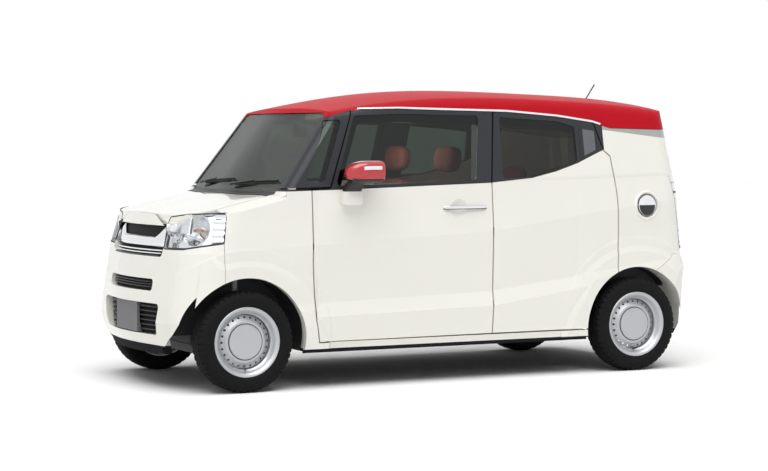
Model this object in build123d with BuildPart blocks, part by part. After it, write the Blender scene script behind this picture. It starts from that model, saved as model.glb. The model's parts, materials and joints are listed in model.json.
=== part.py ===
"""Kei car with two-tone roof, built as a jointed assembly of separate parts.

The frame has +X forward, +Y to the car's left and +Z up, in millimetres. The
origin lies on the ground under the middle of the body.
"""
import math
import os

from build123d import *

os.makedirs("parts", exist_ok=True)

# Overall sizes
LENGTH = 3395.0
HALF_WIDTH = 737.5
ROOF_HEIGHT = 1670.0
WHEELBASE = 2520.0
FRONT_OVERHANG = 455.0
TRACK = 1305.0
NOSE_X = LENGTH / 2
TAIL_X = -LENGTH / 2
FRONT_AXLE_X = NOSE_X - FRONT_OVERHANG
REAR_AXLE_X = FRONT_AXLE_X - WHEELBASE
WHEEL_Y = TRACK / 2

# Walls and gaps
WALL = 57.0
DOOR_WALL = 50.0
FRAME_WALL = 30.0
STRUCTURE_DEPTH = 105.0
GLASS_INSET = 4.0
GLASS_THICKNESS = 5.0
PANEL_GAP = 8.0
FRAME_GAP = 10.0
SEAM = 3.0
RUNNING_CLEARANCE = 0.3

# Wheels
TYRE_RADIUS = 278.0
TYRE_HALF_WIDTH = 77.5
BEAD_RADIUS = 176.0
FLANGE_RADIUS = 193.0
FLANGE_Y = 66.0
FLANGE_THICKNESS = 5.0
BARREL_WALL = 8.0
SPINDLE_RADIUS = 28.0
CAP_RADIUS = 92.0
DISC_Y = 34.0
DISC_THICKNESS = 10.0
HUB_FACE_Y = 12.0

# Arch openings
FRONT_ARCH_RADIUS = 350.0
REAR_ARCH_RADIUS = 343.0
FRONT_WELL_RADIUS = 375.0
FRONT_WELL_Y = 400.0
REAR_WELL_Y = 545.0
WELL_WALL = 15.0
ARCH_LIP_Y = 690.0

# Body skin: one row per level of the lower body
B_LINE_X = -290.5
SKIN_LEVELS = (
    # name, height, front slope, rear slope, nose back, tail back, half width, front radius, rear radius
    ("bottom", 200.0, 0.0, 0.0, 52.0, 42.0, 692.0, 200.0, 120.0),
    ("sill", 267.0, 0.005, 0.0, 25.0, 19.0, 716.0, 210.0, 130.0),
    ("ridge", 425.0, 0.024, 0.14, 0.0, 0.0, 734.0, 220.0, 140.0),
    ("valley", 510.0, 0.031, 0.128, 2.0, 5.0, 719.0, 225.0, 140.0),
    ("crease", 853.0, 0.052, 0.137, 47.0, 47.0, 731.0, 270.0, 140.0),
    ("belt", 1131.0, 0.027, 0.027, 136.0, 62.0, 708.0, 320.0, 140.0),
)
NOSE_BOW = 95.0
NOSE_RADIUS = 1500.0
TAIL_BOW = 45.0
TAIL_RADIUS = 3000.0
OPEN_BOTTOM = 80.0

# Bonnet skin: profile on the centre line and its fall to the sides
BONNET_PROFILE = ((NOSE_X + 103.0, 880.0), (NOSE_X - 87.5, 962.0), (NOSE_X - 697.5, 1107.0))
BONNET_NOSE_RADIUS = 120.0
BONNET_FALL = ((-780.0, 120.0), (-690.0, 42.0), (-400.0, 10.0), (0.0, 0.0), (400.0, 10.0), (690.0, 42.0), (780.0, 120.0))

# Upper body skin: one row per cross-section
TUMBLEHOME = 0.19
ROOF_SECTIONS = (
    # x, edge below roof height, centre below roof height
    (1180.0, 230.0, 200.0),
    (745.0, 150.0, 115.0),
    (240.0, 80.0, 25.0),
    (-350.0, 58.0, 0.0),
    (-1000.0, 80.0, 20.0),
    (-1720.0, 173.0, 115.0),
)
ROOF_EDGE_RADIUS = 75.0
UPPER_BASE_Z = 900.0
WAIST_TUCK = 60.0
WAIST_DEPTH = 120.0
SCREEN_BASE = (1085.0, 1085.0)
SCREEN_TOP = (745.0, 1545.0)
SCREEN_BOW = 70.0
SCREEN_CORNER_RADIUS = 60.0
TAIL_RAKE = 0.128
TAIL_KNEE = 8.0
TAIL_STEP = 2.0
TAIL_CORNER_RADIUS = 130.0

# Shut lines in side view
FRONT_DOOR_EDGE = ((807.0, 262.0), (828.0, 383.0), (846.0, 694.0), (844.0, 1101.0), (728.0, 1108.0))
ROOF_LINE = ((560.0, 1546.0), (268.0, 1553.0), (-429.0, 1540.0), (-766.0, 1514.0), (-1004.0, 1481.0))
REAR_ROOF_LINE = ((-1125.0, 1447.0), (-1514.0, 1438.0), (-1900.0, 1400.0))
REAR_DOOR_EDGE = ((-1010.0, 1474.0), (-1064.0, 1310.0), (-1104.0, 1278.0), (-1132.0, 1051.0), (-1140.0, 801.0), (-1137.0, 560.0))
DOOR_BOTTOM_Z = 266.0
B_LEAN = 48.0
BELT_Z = SKIN_LEVELS[-1][1]
BELT_SLOPE = SKIN_LEVELS[-1][2]
BELT_HALF = SKIN_LEVELS[-1][6]

# Glass outlines
FRONT_GLASS = ((-190.0, 1146.0), (700.0, 1122.0), (556.0, 1512.0), (266.0, 1524.0), (-240.0, 1516.0))
REAR_GLASS = ((-368.0, 1154.0), (-560.0, 1160.0), (-728.0, 1197.0), (-879.0, 1244.0), (-879.0, 1452.0), (-768.0, 1484.0), (-376.0, 1508.0))
QUARTER_GLASS = ((881.0, 1147.0), (770.0, 1142.0), (633.0, 1492.0), (725.0, 1487.0))
WINDSCREEN = ((-636.0, 1092.0), (636.0, 1092.0), (552.0, 1530.0), (-552.0, 1530.0))
TAIL_GLASS = ((-490.0, 1182.0), (490.0, 1182.0), (455.0, 1462.0), (-455.0, 1462.0))

# Doors turn on upright hinges near their front edges
HINGE_Y = 720.0
HINGE_SETBACK = 60.0
HINGE_PIN_RADIUS = 5.0
HINGE_PIN_LENGTH = 80.0
HINGE_ARM_HALF = 6.0
HINGE_ARM_HEIGHT = 30.0
HINGE_SWEEP_RADIUS = 78.0
FRONT_HINGE_X = 844.0 - HINGE_SETBACK
REAR_HINGE_X = B_LINE_X - PANEL_GAP / 2 - HINGE_SETBACK
FRONT_HINGE_Z = (410.0, 790.0)
REAR_HINGE_Z = (434.0, 855.0)

# Lids
BONNET_FRONT_X = 1576.0
BONNET_REAR_X = 1140.0
BONNET_HALF = 600.0
BONNET_HINGE = (1190.0, 1036.0)
BONNET_HINGE_Y = 420.0
COWL_GAP = 13.0
TAILGATE_HALF = 555.0
TAILGATE_BOTTOM_Z = 698.0
TAILGATE_FRONT_X = -1440.0
TAILGATE_HINGE = (TAILGATE_FRONT_X - 45.0, 1577.0)
TAILGATE_HINGE_Y = 380.0
FUEL_LID_CENTRE = (-1343.5, 986.0)
FUEL_LID_RADIUS = 60.0
FUEL_LID_GAP = 10.5
FUEL_LID_THICKNESS = 15.0
FUEL_POCKET_DEPTH = 42.0
FUEL_SKIN_Y = 731.0
FUEL_HINGE_X = FUEL_LID_CENTRE[0] + FUEL_LID_RADIUS - 16.0
FUEL_HINGE_Y = FUEL_SKIN_Y - 9.0
FUEL_PIN_RADIUS = 2.0
FUEL_ARM_HALF = 3.0

# Steering
KINGPIN_Y = 540.0
STRUT_RADIUS = 22.0
STRUT_TOP_Z = 780.0
STUD_RADIUS = 10.0


def bowed(tip, bow, half, radius):
    """Corner and apex of a bowed end whose rounded tip lies at a given place."""
    depth = bow
    for _ in range(6):
        depth = bow + radius * (math.sqrt(1 + (depth / half) ** 2) - 1)
    return tip - bow, tip - bow + depth


def level_wire(row, inset):
    """Closed outline of one level of the lower body, moved in by an inset."""
    name, height, front_slope, rear_slope, nose_back, tail_back, half, front_radius, rear_radius = row
    nose_corner, nose_apex = bowed(NOSE_X - nose_back - inset, NOSE_BOW, half, NOSE_RADIUS)
    tail_corner, tail_apex = bowed(-TAIL_X - tail_back - inset, TAIL_BOW, half, TAIL_RADIUS)
    half -= inset
    if name == "bottom" and inset:
        height -= OPEN_BOTTOM
    plan = (
        (B_LINE_X, half),
        (nose_corner, half),
        (nose_apex, 0.0),
        (nose_corner, -half),
        (B_LINE_X, -half),
        (-tail_corner, -half),
        (-tail_apex, 0.0),
        (-tail_corner, half),
    )
    points = []
    for x, y in plan:
        slope = front_slope if x > B_LINE_X else rear_slope
        points.append((x, y, height - slope * (x - B_LINE_X)))
    front = max(front_radius - inset, 30.0)
    rear = max(rear_radius - inset, 20.0)
    radii = [0, front, NOSE_RADIUS, front, 0, rear, TAIL_RADIUS, rear]
    with BuildLine() as line:
        FilletPolyline(*points, radius=radii, close=True)
    return line.wire()


def belt_height(x):
    """Height of the belt line at a place along the car."""
    return BELT_Z - BELT_SLOPE * (x - B_LINE_X)


def side_half(x, z, inset):
    """Half width of the upper body at a place along the car and a height."""
    return BELT_HALF - inset * 1.02 - TUMBLEHOME * (z - belt_height(x))


def body_skin(inset):
    """Solid inside the body's outer skin, moved in by an inset."""
    levels = [level_wire(row, inset) for row in SKIN_LEVELS]
    with BuildPart() as lower:
        add(Solid.make_loft(levels, ruled=True))
        for y, fall in BONNET_FALL:
            with BuildSketch(Plane((0, y, -fall - inset), x_dir=(1, 0, 0), z_dir=(0, -1, 0))):
                with BuildLine():
                    ends = ((BONNET_PROFILE[-1][0], ROOF_HEIGHT), (BONNET_PROFILE[0][0], ROOF_HEIGHT))
                    FilletPolyline(*BONNET_PROFILE, *ends, radius=[0, BONNET_NOSE_RADIUS, 0, 0, 0], close=True)
                make_face()
        loft(mode=Mode.SUBTRACT)
    with BuildPart() as upper:
        for x, edge_fall, top_fall in ROOF_SECTIONS:
            edge = ROOF_HEIGHT - edge_fall - inset
            top = ROOF_HEIGHT - top_fall - inset
            waist = belt_height(x)
            wide = side_half(x, waist, inset)
            narrow = side_half(x, edge, inset)
            foot = (wide - WAIST_TUCK, waist - WAIST_DEPTH)
            with BuildSketch(Plane((x, 0, 0), x_dir=(0, 1, 0), z_dir=(1, 0, 0))) as section:
                with BuildLine():
                    Polyline((-narrow, edge), (-wide, waist), (-foot[0], foot[1]), foot, (wide, waist), (narrow, edge))
                    ThreePointArc((narrow, edge), (0, top), (-narrow, edge))
                make_face()
                fillet(section.vertices().group_by(Axis.Z)[-1], ROOF_EDGE_RADIUS - inset * 0.5)
        loft()
        slope = (SCREEN_TOP[0] - SCREEN_BASE[0]) / (SCREEN_TOP[1] - SCREEN_BASE[1])
        with BuildPart(mode=Mode.INTERSECT):
            knee = belt_height(TAIL_X) + TAIL_KNEE
            for z in (UPPER_BASE_Z, knee, ROOF_HEIGHT + 70.0):
                screen = SCREEN_BASE[0] + slope * (z - SCREEN_BASE[1]) - inset * 1.25
                tail = -TAIL_X - SKIN_LEVELS[-1][5] - TAIL_STEP - TAIL_RAKE * abs(z - knee) - inset
                screen_corner, screen_apex = bowed(screen, SCREEN_BOW, BELT_HALF, NOSE_RADIUS)
                tail_corner, tail_apex = bowed(tail, TAIL_BOW, BELT_HALF, TAIL_RADIUS)
                front_half = side_half(screen, z, inset) + 1.0
                rear_half = side_half(-tail, z, inset) + 1.0
                front = max(SCREEN_CORNER_RADIUS - inset, 15.0)
                rear = max(TAIL_CORNER_RADIUS - inset, 20.0)
                with BuildSketch(Plane.XY.offset(z)):
                    with BuildLine():
                        FilletPolyline(
                            (screen_corner, front_half),
                            (screen_apex, 0),
                            (screen_corner, -front_half),
                            (-tail_corner, -rear_half),
                            (-tail_apex, 0),
                            (-tail_corner, rear_half),
                            radius=[front, NOSE_RADIUS, front, rear, TAIL_RADIUS, rear],
                            close=True,
                        )
                    make_face()
            loft(ruled=True)
    with BuildPart() as skin:
        add(lower.part)
        add(upper.part)
    return skin.part


def prism_y(outline, near, far, grow=0.0, radius=0.0):
    """Prism across the car from a side-view outline of (x, z) points."""
    with BuildPart() as prism:
        with BuildSketch(Plane.XZ.offset(-near)) as sketch:
            with BuildLine():
                Polyline(*outline, close=True)
            make_face()
            if radius:
                fillet(sketch.vertices(), radius)
            if grow:
                offset(amount=grow, kind=Kind.INTERSECTION)
        extrude(amount=near - far)
    return prism.part


def prism_x(outline, near, far, grow=0.0, radius=0.0):
    """Prism along the car from an end-view outline of (y, z) points."""
    with BuildPart() as prism:
        with BuildSketch(Plane((near, 0, 0), x_dir=(0, 1, 0), z_dir=(1, 0, 0))) as sketch:
            with BuildLine():
                Polyline(*outline, close=True)
            make_face()
            if radius:
                fillet(sketch.vertices(), radius)
            if grow:
                offset(amount=grow, kind=Kind.INTERSECTION)
        extrude(amount=far - near)
    return prism.part


def prism_z(outline, near, far, grow=0.0, radius=0.0):
    """Upright prism from a plan outline of (x, y) points."""
    with BuildPart() as prism:
        with BuildSketch(Plane.XY.offset(near)) as sketch:
            with BuildLine():
                Polyline(*outline, close=True)
            make_face()
            if radius:
                fillet(sketch.vertices(), radius)
            if grow:
                offset(amount=grow, kind=Kind.INTERSECTION)
        extrude(amount=far - near)
    return prism.part


def block(x_range, y_range, z_range):
    """Box between two limits on each axis."""
    with BuildPart() as box:
        size = [high - low for low, high in (x_range, y_range, z_range)]
        middle = [(high + low) / 2 for low, high in (x_range, y_range, z_range)]
        with Locations(tuple(middle)):
            Box(*size)
    return box.part


def rod_y(x, z, radius, near, far):
    """Round bar across the car between two offsets."""
    with BuildPart() as rod:
        with Locations((x, (near + far) / 2, z)):
            Cylinder(radius, abs(far - near), rotation=(90, 0, 0))
    return rod.part


def rod_z(x, y, radius, low, high):
    """Upright round bar between two heights."""
    with BuildPart() as rod:
        with Locations((x, y, (low + high) / 2)):
            Cylinder(radius, high - low)
    return rod.part


def bar(start, end, radius):
    """Round bar between two points."""
    with BuildPart() as rod:
        with BuildLine() as path:
            Line(start, end)
        with BuildSketch(Plane(origin=start, z_dir=path.line % 0)):
            Circle(radius)
        sweep(path=path.line)
    return rod.part


def wall(outer, inner, zone, cuts=()):
    """Body wall between two skins inside a zone, less the cuts."""
    with BuildPart() as panel:
        add(outer)
        add(zone, mode=Mode.INTERSECT)
        add(inner, mode=Mode.SUBTRACT)
        for cut in cuts:
            add(cut, mode=Mode.SUBTRACT)
    return panel.part


# Skins at the insets that the walls use
FLARE_PROUD = 9.0
FULL_INSETS = (-FLARE_PROUD, 0.0, WALL, STRUCTURE_DEPTH)
HALF_INSETS = (0.0, GLASS_INSET, GLASS_INSET + GLASS_THICKNESS, FRAME_WALL, DOOR_WALL, WALL, STRUCTURE_DEPTH)
SKIN = {inset: body_skin(inset) for inset in {*FULL_INSETS, *HALF_INSETS}}
LEFT = (350.0, 890.0)
FRONT_FACE_X = (1340.0, 1800.0)

# Wheel-arch flares stand out from the skin
FLARES = (
    # axle x, opening radius, ridge radius
    (FRONT_AXLE_X, FRONT_ARCH_RADIUS, 505.0),
    (REAR_AXLE_X, REAR_ARCH_RADIUS, 520.0),
)
FLARE_FOOT_Y = 712.0
FLARE_FLAT = 60.0
FLARE_BOTTOM_Z = 215.0
with BuildPart() as flares_left:
    for axle_x, opening, ridge in FLARES:
        with BuildSketch(Plane((axle_x, 0, TYRE_RADIUS), x_dir=(0, 0, 1), z_dir=(1, 0, 0))):
            with BuildLine():
                Polyline(
                    (ridge, -FLARE_FOOT_Y),
                    (opening + FLARE_FLAT, -HALF_WIDTH),
                    (opening, -HALF_WIDTH + 3.0),
                    (opening, -ARCH_LIP_Y),
                    (ridge, -ARCH_LIP_Y),
                    close=True,
                )
            make_face()
        revolve(axis=Axis((axle_x, 0, TYRE_RADIUS), (0, 1, 0)))
    add(block((TAIL_X, NOSE_X), (0, 900), (FLARE_BOTTOM_Z, BELT_Z)), mode=Mode.INTERSECT)
    add(SKIN[-FLARE_PROUD], mode=Mode.INTERSECT)
with BuildPart() as flared_skin:
    add(SKIN[0.0])
    add(flares_left.part)
    add(mirror(flares_left.part, about=Plane.XZ, mode=Mode.PRIVATE))
OUTER = flared_skin.part


def part_of(solid, zone):
    """Part of a solid inside a zone."""
    with BuildPart() as piece:
        add(solid)
        add(zone, mode=Mode.INTERSECT)
    return piece.part


left_half = block((TAIL_X - 10, NOSE_X + 10), (300, 900), (0, ROOF_HEIGHT + 10))
front_end = block(FRONT_FACE_X, (-900, 900), (0, ROOF_HEIGHT))
LEFT_OUTER = part_of(OUTER, left_half)
LEFT_SKIN = {inset: part_of(SKIN[inset], left_half) for inset in HALF_INSETS}
FRONT_OUTER = part_of(OUTER, front_end)
FRONT_SKIN = {inset: part_of(SKIN[inset], front_end) for inset in (GLASS_INSET, FRAME_WALL, DOOR_WALL, WALL)}
GLASS_INNER_INSET = GLASS_INSET + GLASS_THICKNESS

# Wheel wells that every fixed wall leaves open
with BuildPart() as left_wells:
    add(rod_y(FRONT_AXLE_X, TYRE_RADIUS, FRONT_ARCH_RADIUS, ARCH_LIP_Y, 900))
    add(rod_y(FRONT_AXLE_X, TYRE_RADIUS, FRONT_WELL_RADIUS, FRONT_WELL_Y, ARCH_LIP_Y))
    add(rod_y(REAR_AXLE_X, TYRE_RADIUS, REAR_ARCH_RADIUS, REAR_WELL_Y, 900))
LEFT_WELLS = left_wells.part
RIGHT_WELLS = mirror(LEFT_WELLS, about=Plane.XZ)

# Door outlines in side view
HALF_GAP = PANEL_GAP / 2
HALF_FRAME_GAP = FRAME_GAP / 2
ROOF_DROP = 4.0
front_top = [(x, z - ROOF_DROP) for x, z in ROOF_LINE if x > B_LINE_X]
rear_top = [(x, z - ROOF_DROP) for x, z in ROOF_LINE if x < B_LINE_X]
B_TOP_Z = ROOF_LINE[1][1] + (ROOF_LINE[2][1] - ROOF_LINE[1][1]) * 0.85 - ROOF_DROP
FRONT_DOOR = (
    (B_LINE_X + HALF_GAP, DOOR_BOTTOM_Z),
    *FRONT_DOOR_EDGE,
    *front_top,
    (B_LINE_X + HALF_FRAME_GAP - B_LEAN, B_TOP_Z),
    (B_LINE_X + HALF_FRAME_GAP, BELT_Z),
    (B_LINE_X + HALF_GAP, BELT_Z - 20.0),
)
REAR_DOOR = (
    (B_LINE_X - HALF_GAP, DOOR_BOTTOM_Z),
    (B_LINE_X - HALF_GAP, BELT_Z - 20.0),
    (B_LINE_X - HALF_FRAME_GAP, BELT_Z),
    (B_LINE_X - HALF_FRAME_GAP - B_LEAN, B_TOP_Z),
    *rear_top,
    *REAR_DOOR_EDGE,
    (REAR_DOOR_EDGE[-1][0], DOOR_BOTTOM_Z),
)
front_door_zone = prism_y(FRONT_DOOR, *LEFT)
rear_door_zone = prism_y(REAR_DOOR, *LEFT)
front_door_gap = prism_y(FRONT_DOOR, *LEFT, grow=PANEL_GAP)
rear_door_gap = prism_y(REAR_DOOR, *LEFT, grow=PANEL_GAP)
rear_door_well = rod_y(REAR_AXLE_X, TYRE_RADIUS, REAR_ARCH_RADIUS, *LEFT)

# Bonnet, tailgate and lamps: outlines of the cuts that their neighbours share
BONNET_PLAN = (
    (BONNET_REAR_X, 0.0),
    (BONNET_REAR_X - 12.0, 300.0),
    (BONNET_REAR_X - 60.0, BONNET_HALF),
    (1380.0, BONNET_HALF),
    (1459.0, BONNET_HALF - 20.0),
    (1512.0, BONNET_HALF - 50.0),
    (BONNET_FRONT_X - 12.0, 430.0),
    (BONNET_FRONT_X, 0.0),
)
bonnet_plan = BONNET_PLAN + tuple((x, -y) for x, y in reversed(BONNET_PLAN) if y)
BONNET_LOW_Z = 895.0
bonnet_zone = prism_z(bonnet_plan, BONNET_LOW_Z, 1300.0)
bonnet_gap = prism_z(bonnet_plan, BONNET_LOW_Z - 20.0, 1300.0, grow=PANEL_GAP)
TAILGATE_FACE = (
    (-TAILGATE_HALF, TAILGATE_BOTTOM_Z),
    (TAILGATE_HALF, TAILGATE_BOTTOM_Z),
    (TAILGATE_HALF, 1170.0),
    (TAILGATE_HALF - 10.0, ROOF_HEIGHT + 60.0),
    (-TAILGATE_HALF + 10.0, ROOF_HEIGHT + 60.0),
    (-TAILGATE_HALF, 1170.0),
)
tailgate_zone = prism_x(TAILGATE_FACE, TAIL_X - 100.0, TAILGATE_FRONT_X)
tailgate_gap = prism_x(TAILGATE_FACE, TAIL_X - 100.0, TAILGATE_FRONT_X + PANEL_GAP, grow=PANEL_GAP)
windscreen_zone = prism_x(WINDSCREEN, 500.0, 1250.0, radius=40.0)

LAMP_ANGLE = 40.0
HEADLAMP = ((-726.0, 777.0), (-700.0, 957.0), (-560.0, 975.0), (-334.0, 985.0), (-332.0, 815.0), (-560.0, 780.0))
lamp_dir = (math.cos(math.radians(LAMP_ANGLE)), math.sin(math.radians(LAMP_ANGLE)))
LAMP_PLANE = Plane((0, 0, 0), x_dir=(-lamp_dir[1], lamp_dir[0], 0), z_dir=(*lamp_dir, 0))
with BuildPart() as headlamp_prism:
    with BuildSketch(LAMP_PLANE.offset(1200.0)) as outline:
        with BuildLine():
            Polyline(*HEADLAMP, close=True)
        make_face()
        fillet(outline.vertices(), 25.0)
    extrude(amount=700.0)
    add(bonnet_gap, mode=Mode.SUBTRACT)
headlamp_zone = headlamp_prism.part
headlamp_zone_right = mirror(headlamp_zone, about=Plane.XZ)
TAIL_LAMP = (
    (-1900.0, 716.0),
    (-1642.0, 716.0),
    (-1612.0, 900.0),
    (-1568.0, 1110.0),
    (-1548.0, 1165.0),
    (-1900.0, 1165.0),
)
tail_lamp_zone = prism_y(TAIL_LAMP, TAILGATE_HALF + PANEL_GAP, 900.0)

# Front openings
GRILLE = ((-400.0, 905.0), (-388.0, 735.0), (388.0, 735.0), (400.0, 905.0))
SLOT = ((-330.0, 546.0), (330.0, 546.0), (330.0, 612.0), (-330.0, 612.0))
INTAKE = ((-385.0, 306.0), (385.0, 306.0), (432.0, 480.0), (-432.0, 480.0))
with BuildPart() as grille_prism:
    add(prism_x(GRILLE, *FRONT_FACE_X, radius=25.0))
    add(bonnet_gap, mode=Mode.SUBTRACT)
    add(headlamp_zone, mode=Mode.SUBTRACT)
    add(headlamp_zone_right, mode=Mode.SUBTRACT)
grille_zone = grille_prism.part
slot_zone = prism_x(SLOT, *FRONT_FACE_X, radius=20.0)
intake_zone = prism_x(INTAKE, *FRONT_FACE_X, radius=25.0)

# Seams between fixed panels
FRONT_SEAM_X = 1374.0
REAR_BUMPER = (
    (-1900.0, 150.0),
    (-1900.0, 690.0),
    (-1532.0, 690.0),
    (-1515.0, 663.0),
    (-1400.0, 588.0),
    (-1300.0, 588.0),
    (-1300.0, 150.0),
)
SILL_SEAM_X = 742.0
SILL_TOP_Z = DOOR_BOTTOM_Z - PANEL_GAP
COWL_HALF = BONNET_HALF + PANEL_GAP
A_BASE_Z = 1106.0
HEADER_FALL = 90.0
A_TOP_Z = ROOF_LINE[0][1] - SEAM
A_PILLAR = (
    (FRONT_DOOR_EDGE[-1][0] + PANEL_GAP, A_BASE_Z + 12.0),
    (ROOF_LINE[0][0] + PANEL_GAP, A_TOP_Z),
    (900.0, A_TOP_Z - HEADER_FALL),
    (1250.0, A_BASE_Z),
)
ROOF_ZONE = (*ROOF_LINE, *REAR_ROOF_LINE, (-1900.0, 1800.0), (900.0, 1800.0), (900.0, ROOF_LINE[0][1] - HEADER_FALL))
QUARTER_ZONE = (
    (-900.0, 150.0),
    (-900.0, ROOF_LINE[-1][1] + 9.0),
    *[(x, z - SEAM) for x, z in (ROOF_LINE[-1], *REAR_ROOF_LINE)],
    (-1900.0, 150.0),
)

# Side walls on the left, mirrored to the right
fender_left = wall(
    LEFT_OUTER,
    LEFT_SKIN[WALL],
    block((SILL_SEAM_X + SEAM, FRONT_SEAM_X), LEFT, (150, A_BASE_Z - SEAM)),
    (
        front_door_gap,
        bonnet_gap,
        block((800, BONNET_REAR_X), (0, COWL_HALF), (950, 1300)),
        headlamp_zone,
        windscreen_zone,
        LEFT_WELLS,
    ),
)
sill_left = wall(
    LEFT_OUTER, LEFT_SKIN[WALL], block((-1000.0, SILL_SEAM_X), LEFT, (150, SILL_TOP_Z)), (LEFT_WELLS,)
)
quarter_left = wall(
    LEFT_OUTER,
    LEFT_SKIN[WALL],
    prism_y(QUARTER_ZONE, *LEFT),
    (
        rear_door_gap,
        tailgate_gap,
        tail_lamp_zone,
        prism_y(REAR_BUMPER, *LEFT, grow=SEAM),
        LEFT_WELLS,
        block((-1250, -800), LEFT, (150, SILL_TOP_Z + SEAM)),
    ),
)

# Inner side frames, with the windscreen pillars and the doors' hinge arms
FRAME_INSET = 74.0
HINGES = ((FRONT_HINGE_X, FRONT_HINGE_Z), (REAR_HINGE_X, REAR_HINGE_Z))
ARM_HALF = HINGE_ARM_HEIGHT / 2
PIN_HALF = HINGE_PIN_LENGTH / 2
SWEEP_TOP_Z = BELT_Z + 40.0
LEAD_RADIUS = HINGE_SWEEP_RADIUS - 6.0
quarter_light_zone = prism_y(QUARTER_GLASS, *LEFT, radius=18.0)
tailgate_arm_room = block(
    (TAILGATE_FRONT_X - 10.0, TAILGATE_FRONT_X + 50.0), (LEFT[0], TAILGATE_HINGE_Y + 25.0), (1470.0, 1570.0)
)
with BuildPart() as frame_left:
    add(LEFT_SKIN[WALL])
    add(block((-1590.0, 905.0), LEFT, (205.0, 1700.0)), mode=Mode.INTERSECT)
    add(LEFT_SKIN[STRUCTURE_DEPTH], mode=Mode.SUBTRACT)
    add(prism_y(FRONT_DOOR, *LEFT, grow=-FRAME_INSET), mode=Mode.SUBTRACT)
    add(prism_y(REAR_DOOR, *LEFT, grow=-FRAME_INSET), mode=Mode.SUBTRACT)
    add(LEFT_WELLS, mode=Mode.SUBTRACT)
    add(tailgate_gap, mode=Mode.SUBTRACT)
    add(windscreen_zone, mode=Mode.SUBTRACT)
    add(tailgate_arm_room, mode=Mode.SUBTRACT)
    for x, heights in HINGES:
        sweep_room = rod_z(x, HINGE_Y, HINGE_SWEEP_RADIUS, DOOR_BOTTOM_Z - PANEL_GAP, SWEEP_TOP_Z)
        add(sweep_room, mode=Mode.SUBTRACT)
    add(wall(LEFT_SKIN[0.0], LEFT_SKIN[STRUCTURE_DEPTH], prism_y(A_PILLAR, *LEFT), (windscreen_zone,)))
    add(quarter_light_zone, mode=Mode.SUBTRACT)
    for x, heights in HINGES:
        for z in heights:
            arm_x = (x - HINGE_ARM_HALF, x + HINGE_ARM_HALF)
            add(block(arm_x, (HINGE_Y - 85.0, HINGE_Y), (z - ARM_HALF, z + ARM_HALF)))
            add(rod_z(x, HINGE_Y, HINGE_ARM_HALF, z - ARM_HALF, z + ARM_HALF))
            add(rod_z(x, HINGE_Y, HINGE_PIN_RADIUS, z - PIN_HALF, z + PIN_HALF))

with BuildPart() as side_frames:
    add(frame_left.part)
    mirror(about=Plane.XZ)
side_frames.part.label = "side_frames"
export_step(side_frames.part, "parts/side_frames.step")

with BuildPart() as front_fenders:
    add(fender_left)
    mirror(about=Plane.XZ)
front_fenders.part.label = "front_fenders"
export_step(front_fenders.part, "parts/front_fenders.step")

with BuildPart() as side_sills:
    add(sill_left)
    mirror(about=Plane.XZ)
side_sills.part.label = "side_sills"
export_step(side_sills.part, "parts/side_sills.step")

# The fuel pocket is on the left quarter only
fuel_x, fuel_z = FUEL_LID_CENTRE
FUEL_ARM_REACH = 8.0
pocket_y = FUEL_SKIN_Y - FUEL_POCKET_DEPTH
with BuildPart() as quarter_panels:
    add(quarter_left)
    mirror(about=Plane.XZ)
    add(rod_y(fuel_x, fuel_z, FUEL_LID_RADIUS + FUEL_LID_GAP, pocket_y, 900), mode=Mode.SUBTRACT)
    arm_x = (FUEL_HINGE_X - FUEL_ARM_HALF, FUEL_HINGE_X + FUEL_ARM_HALF)
    add(block(arm_x, (pocket_y - 3.0, FUEL_HINGE_Y), (fuel_z - FUEL_ARM_REACH, fuel_z + FUEL_ARM_REACH)))
    add(rod_z(FUEL_HINGE_X, FUEL_HINGE_Y, FUEL_ARM_HALF, fuel_z - FUEL_ARM_REACH, fuel_z + FUEL_ARM_REACH))
    add(rod_z(FUEL_HINGE_X, FUEL_HINGE_Y, FUEL_PIN_RADIUS, fuel_z - 2 * FUEL_ARM_REACH, fuel_z + 2 * FUEL_ARM_REACH))
quarter_panels.part.label = "quarter_panels"
export_step(quarter_panels.part, "parts/quarter_panels.step")

with BuildPart() as fuel_lid:
    add(LEFT_SKIN[0.0])
    lid_y = FUEL_SKIN_Y - FUEL_LID_THICKNESS
    add(rod_y(fuel_x, fuel_z, FUEL_LID_RADIUS, lid_y, 900), mode=Mode.INTERSECT)
    slot_x = (FUEL_HINGE_X - 6.0, FUEL_HINGE_X + 40.0)
    slot_z = (fuel_z - FUEL_ARM_REACH - 2.0, fuel_z + FUEL_ARM_REACH + 2.0)
    add(block(slot_x, (600, FUEL_HINGE_Y + FUEL_ARM_HALF + 1.0), slot_z), mode=Mode.SUBTRACT)
    bore = FUEL_PIN_RADIUS + RUNNING_CLEARANCE
    add(rod_z(FUEL_HINGE_X, FUEL_HINGE_Y, bore, fuel_z - 17.0, fuel_z + 17.0), mode=Mode.SUBTRACT)
fuel_lid.part.label = "fuel_lid"
export_step(fuel_lid.part, "parts/fuel_lid.step")

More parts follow.
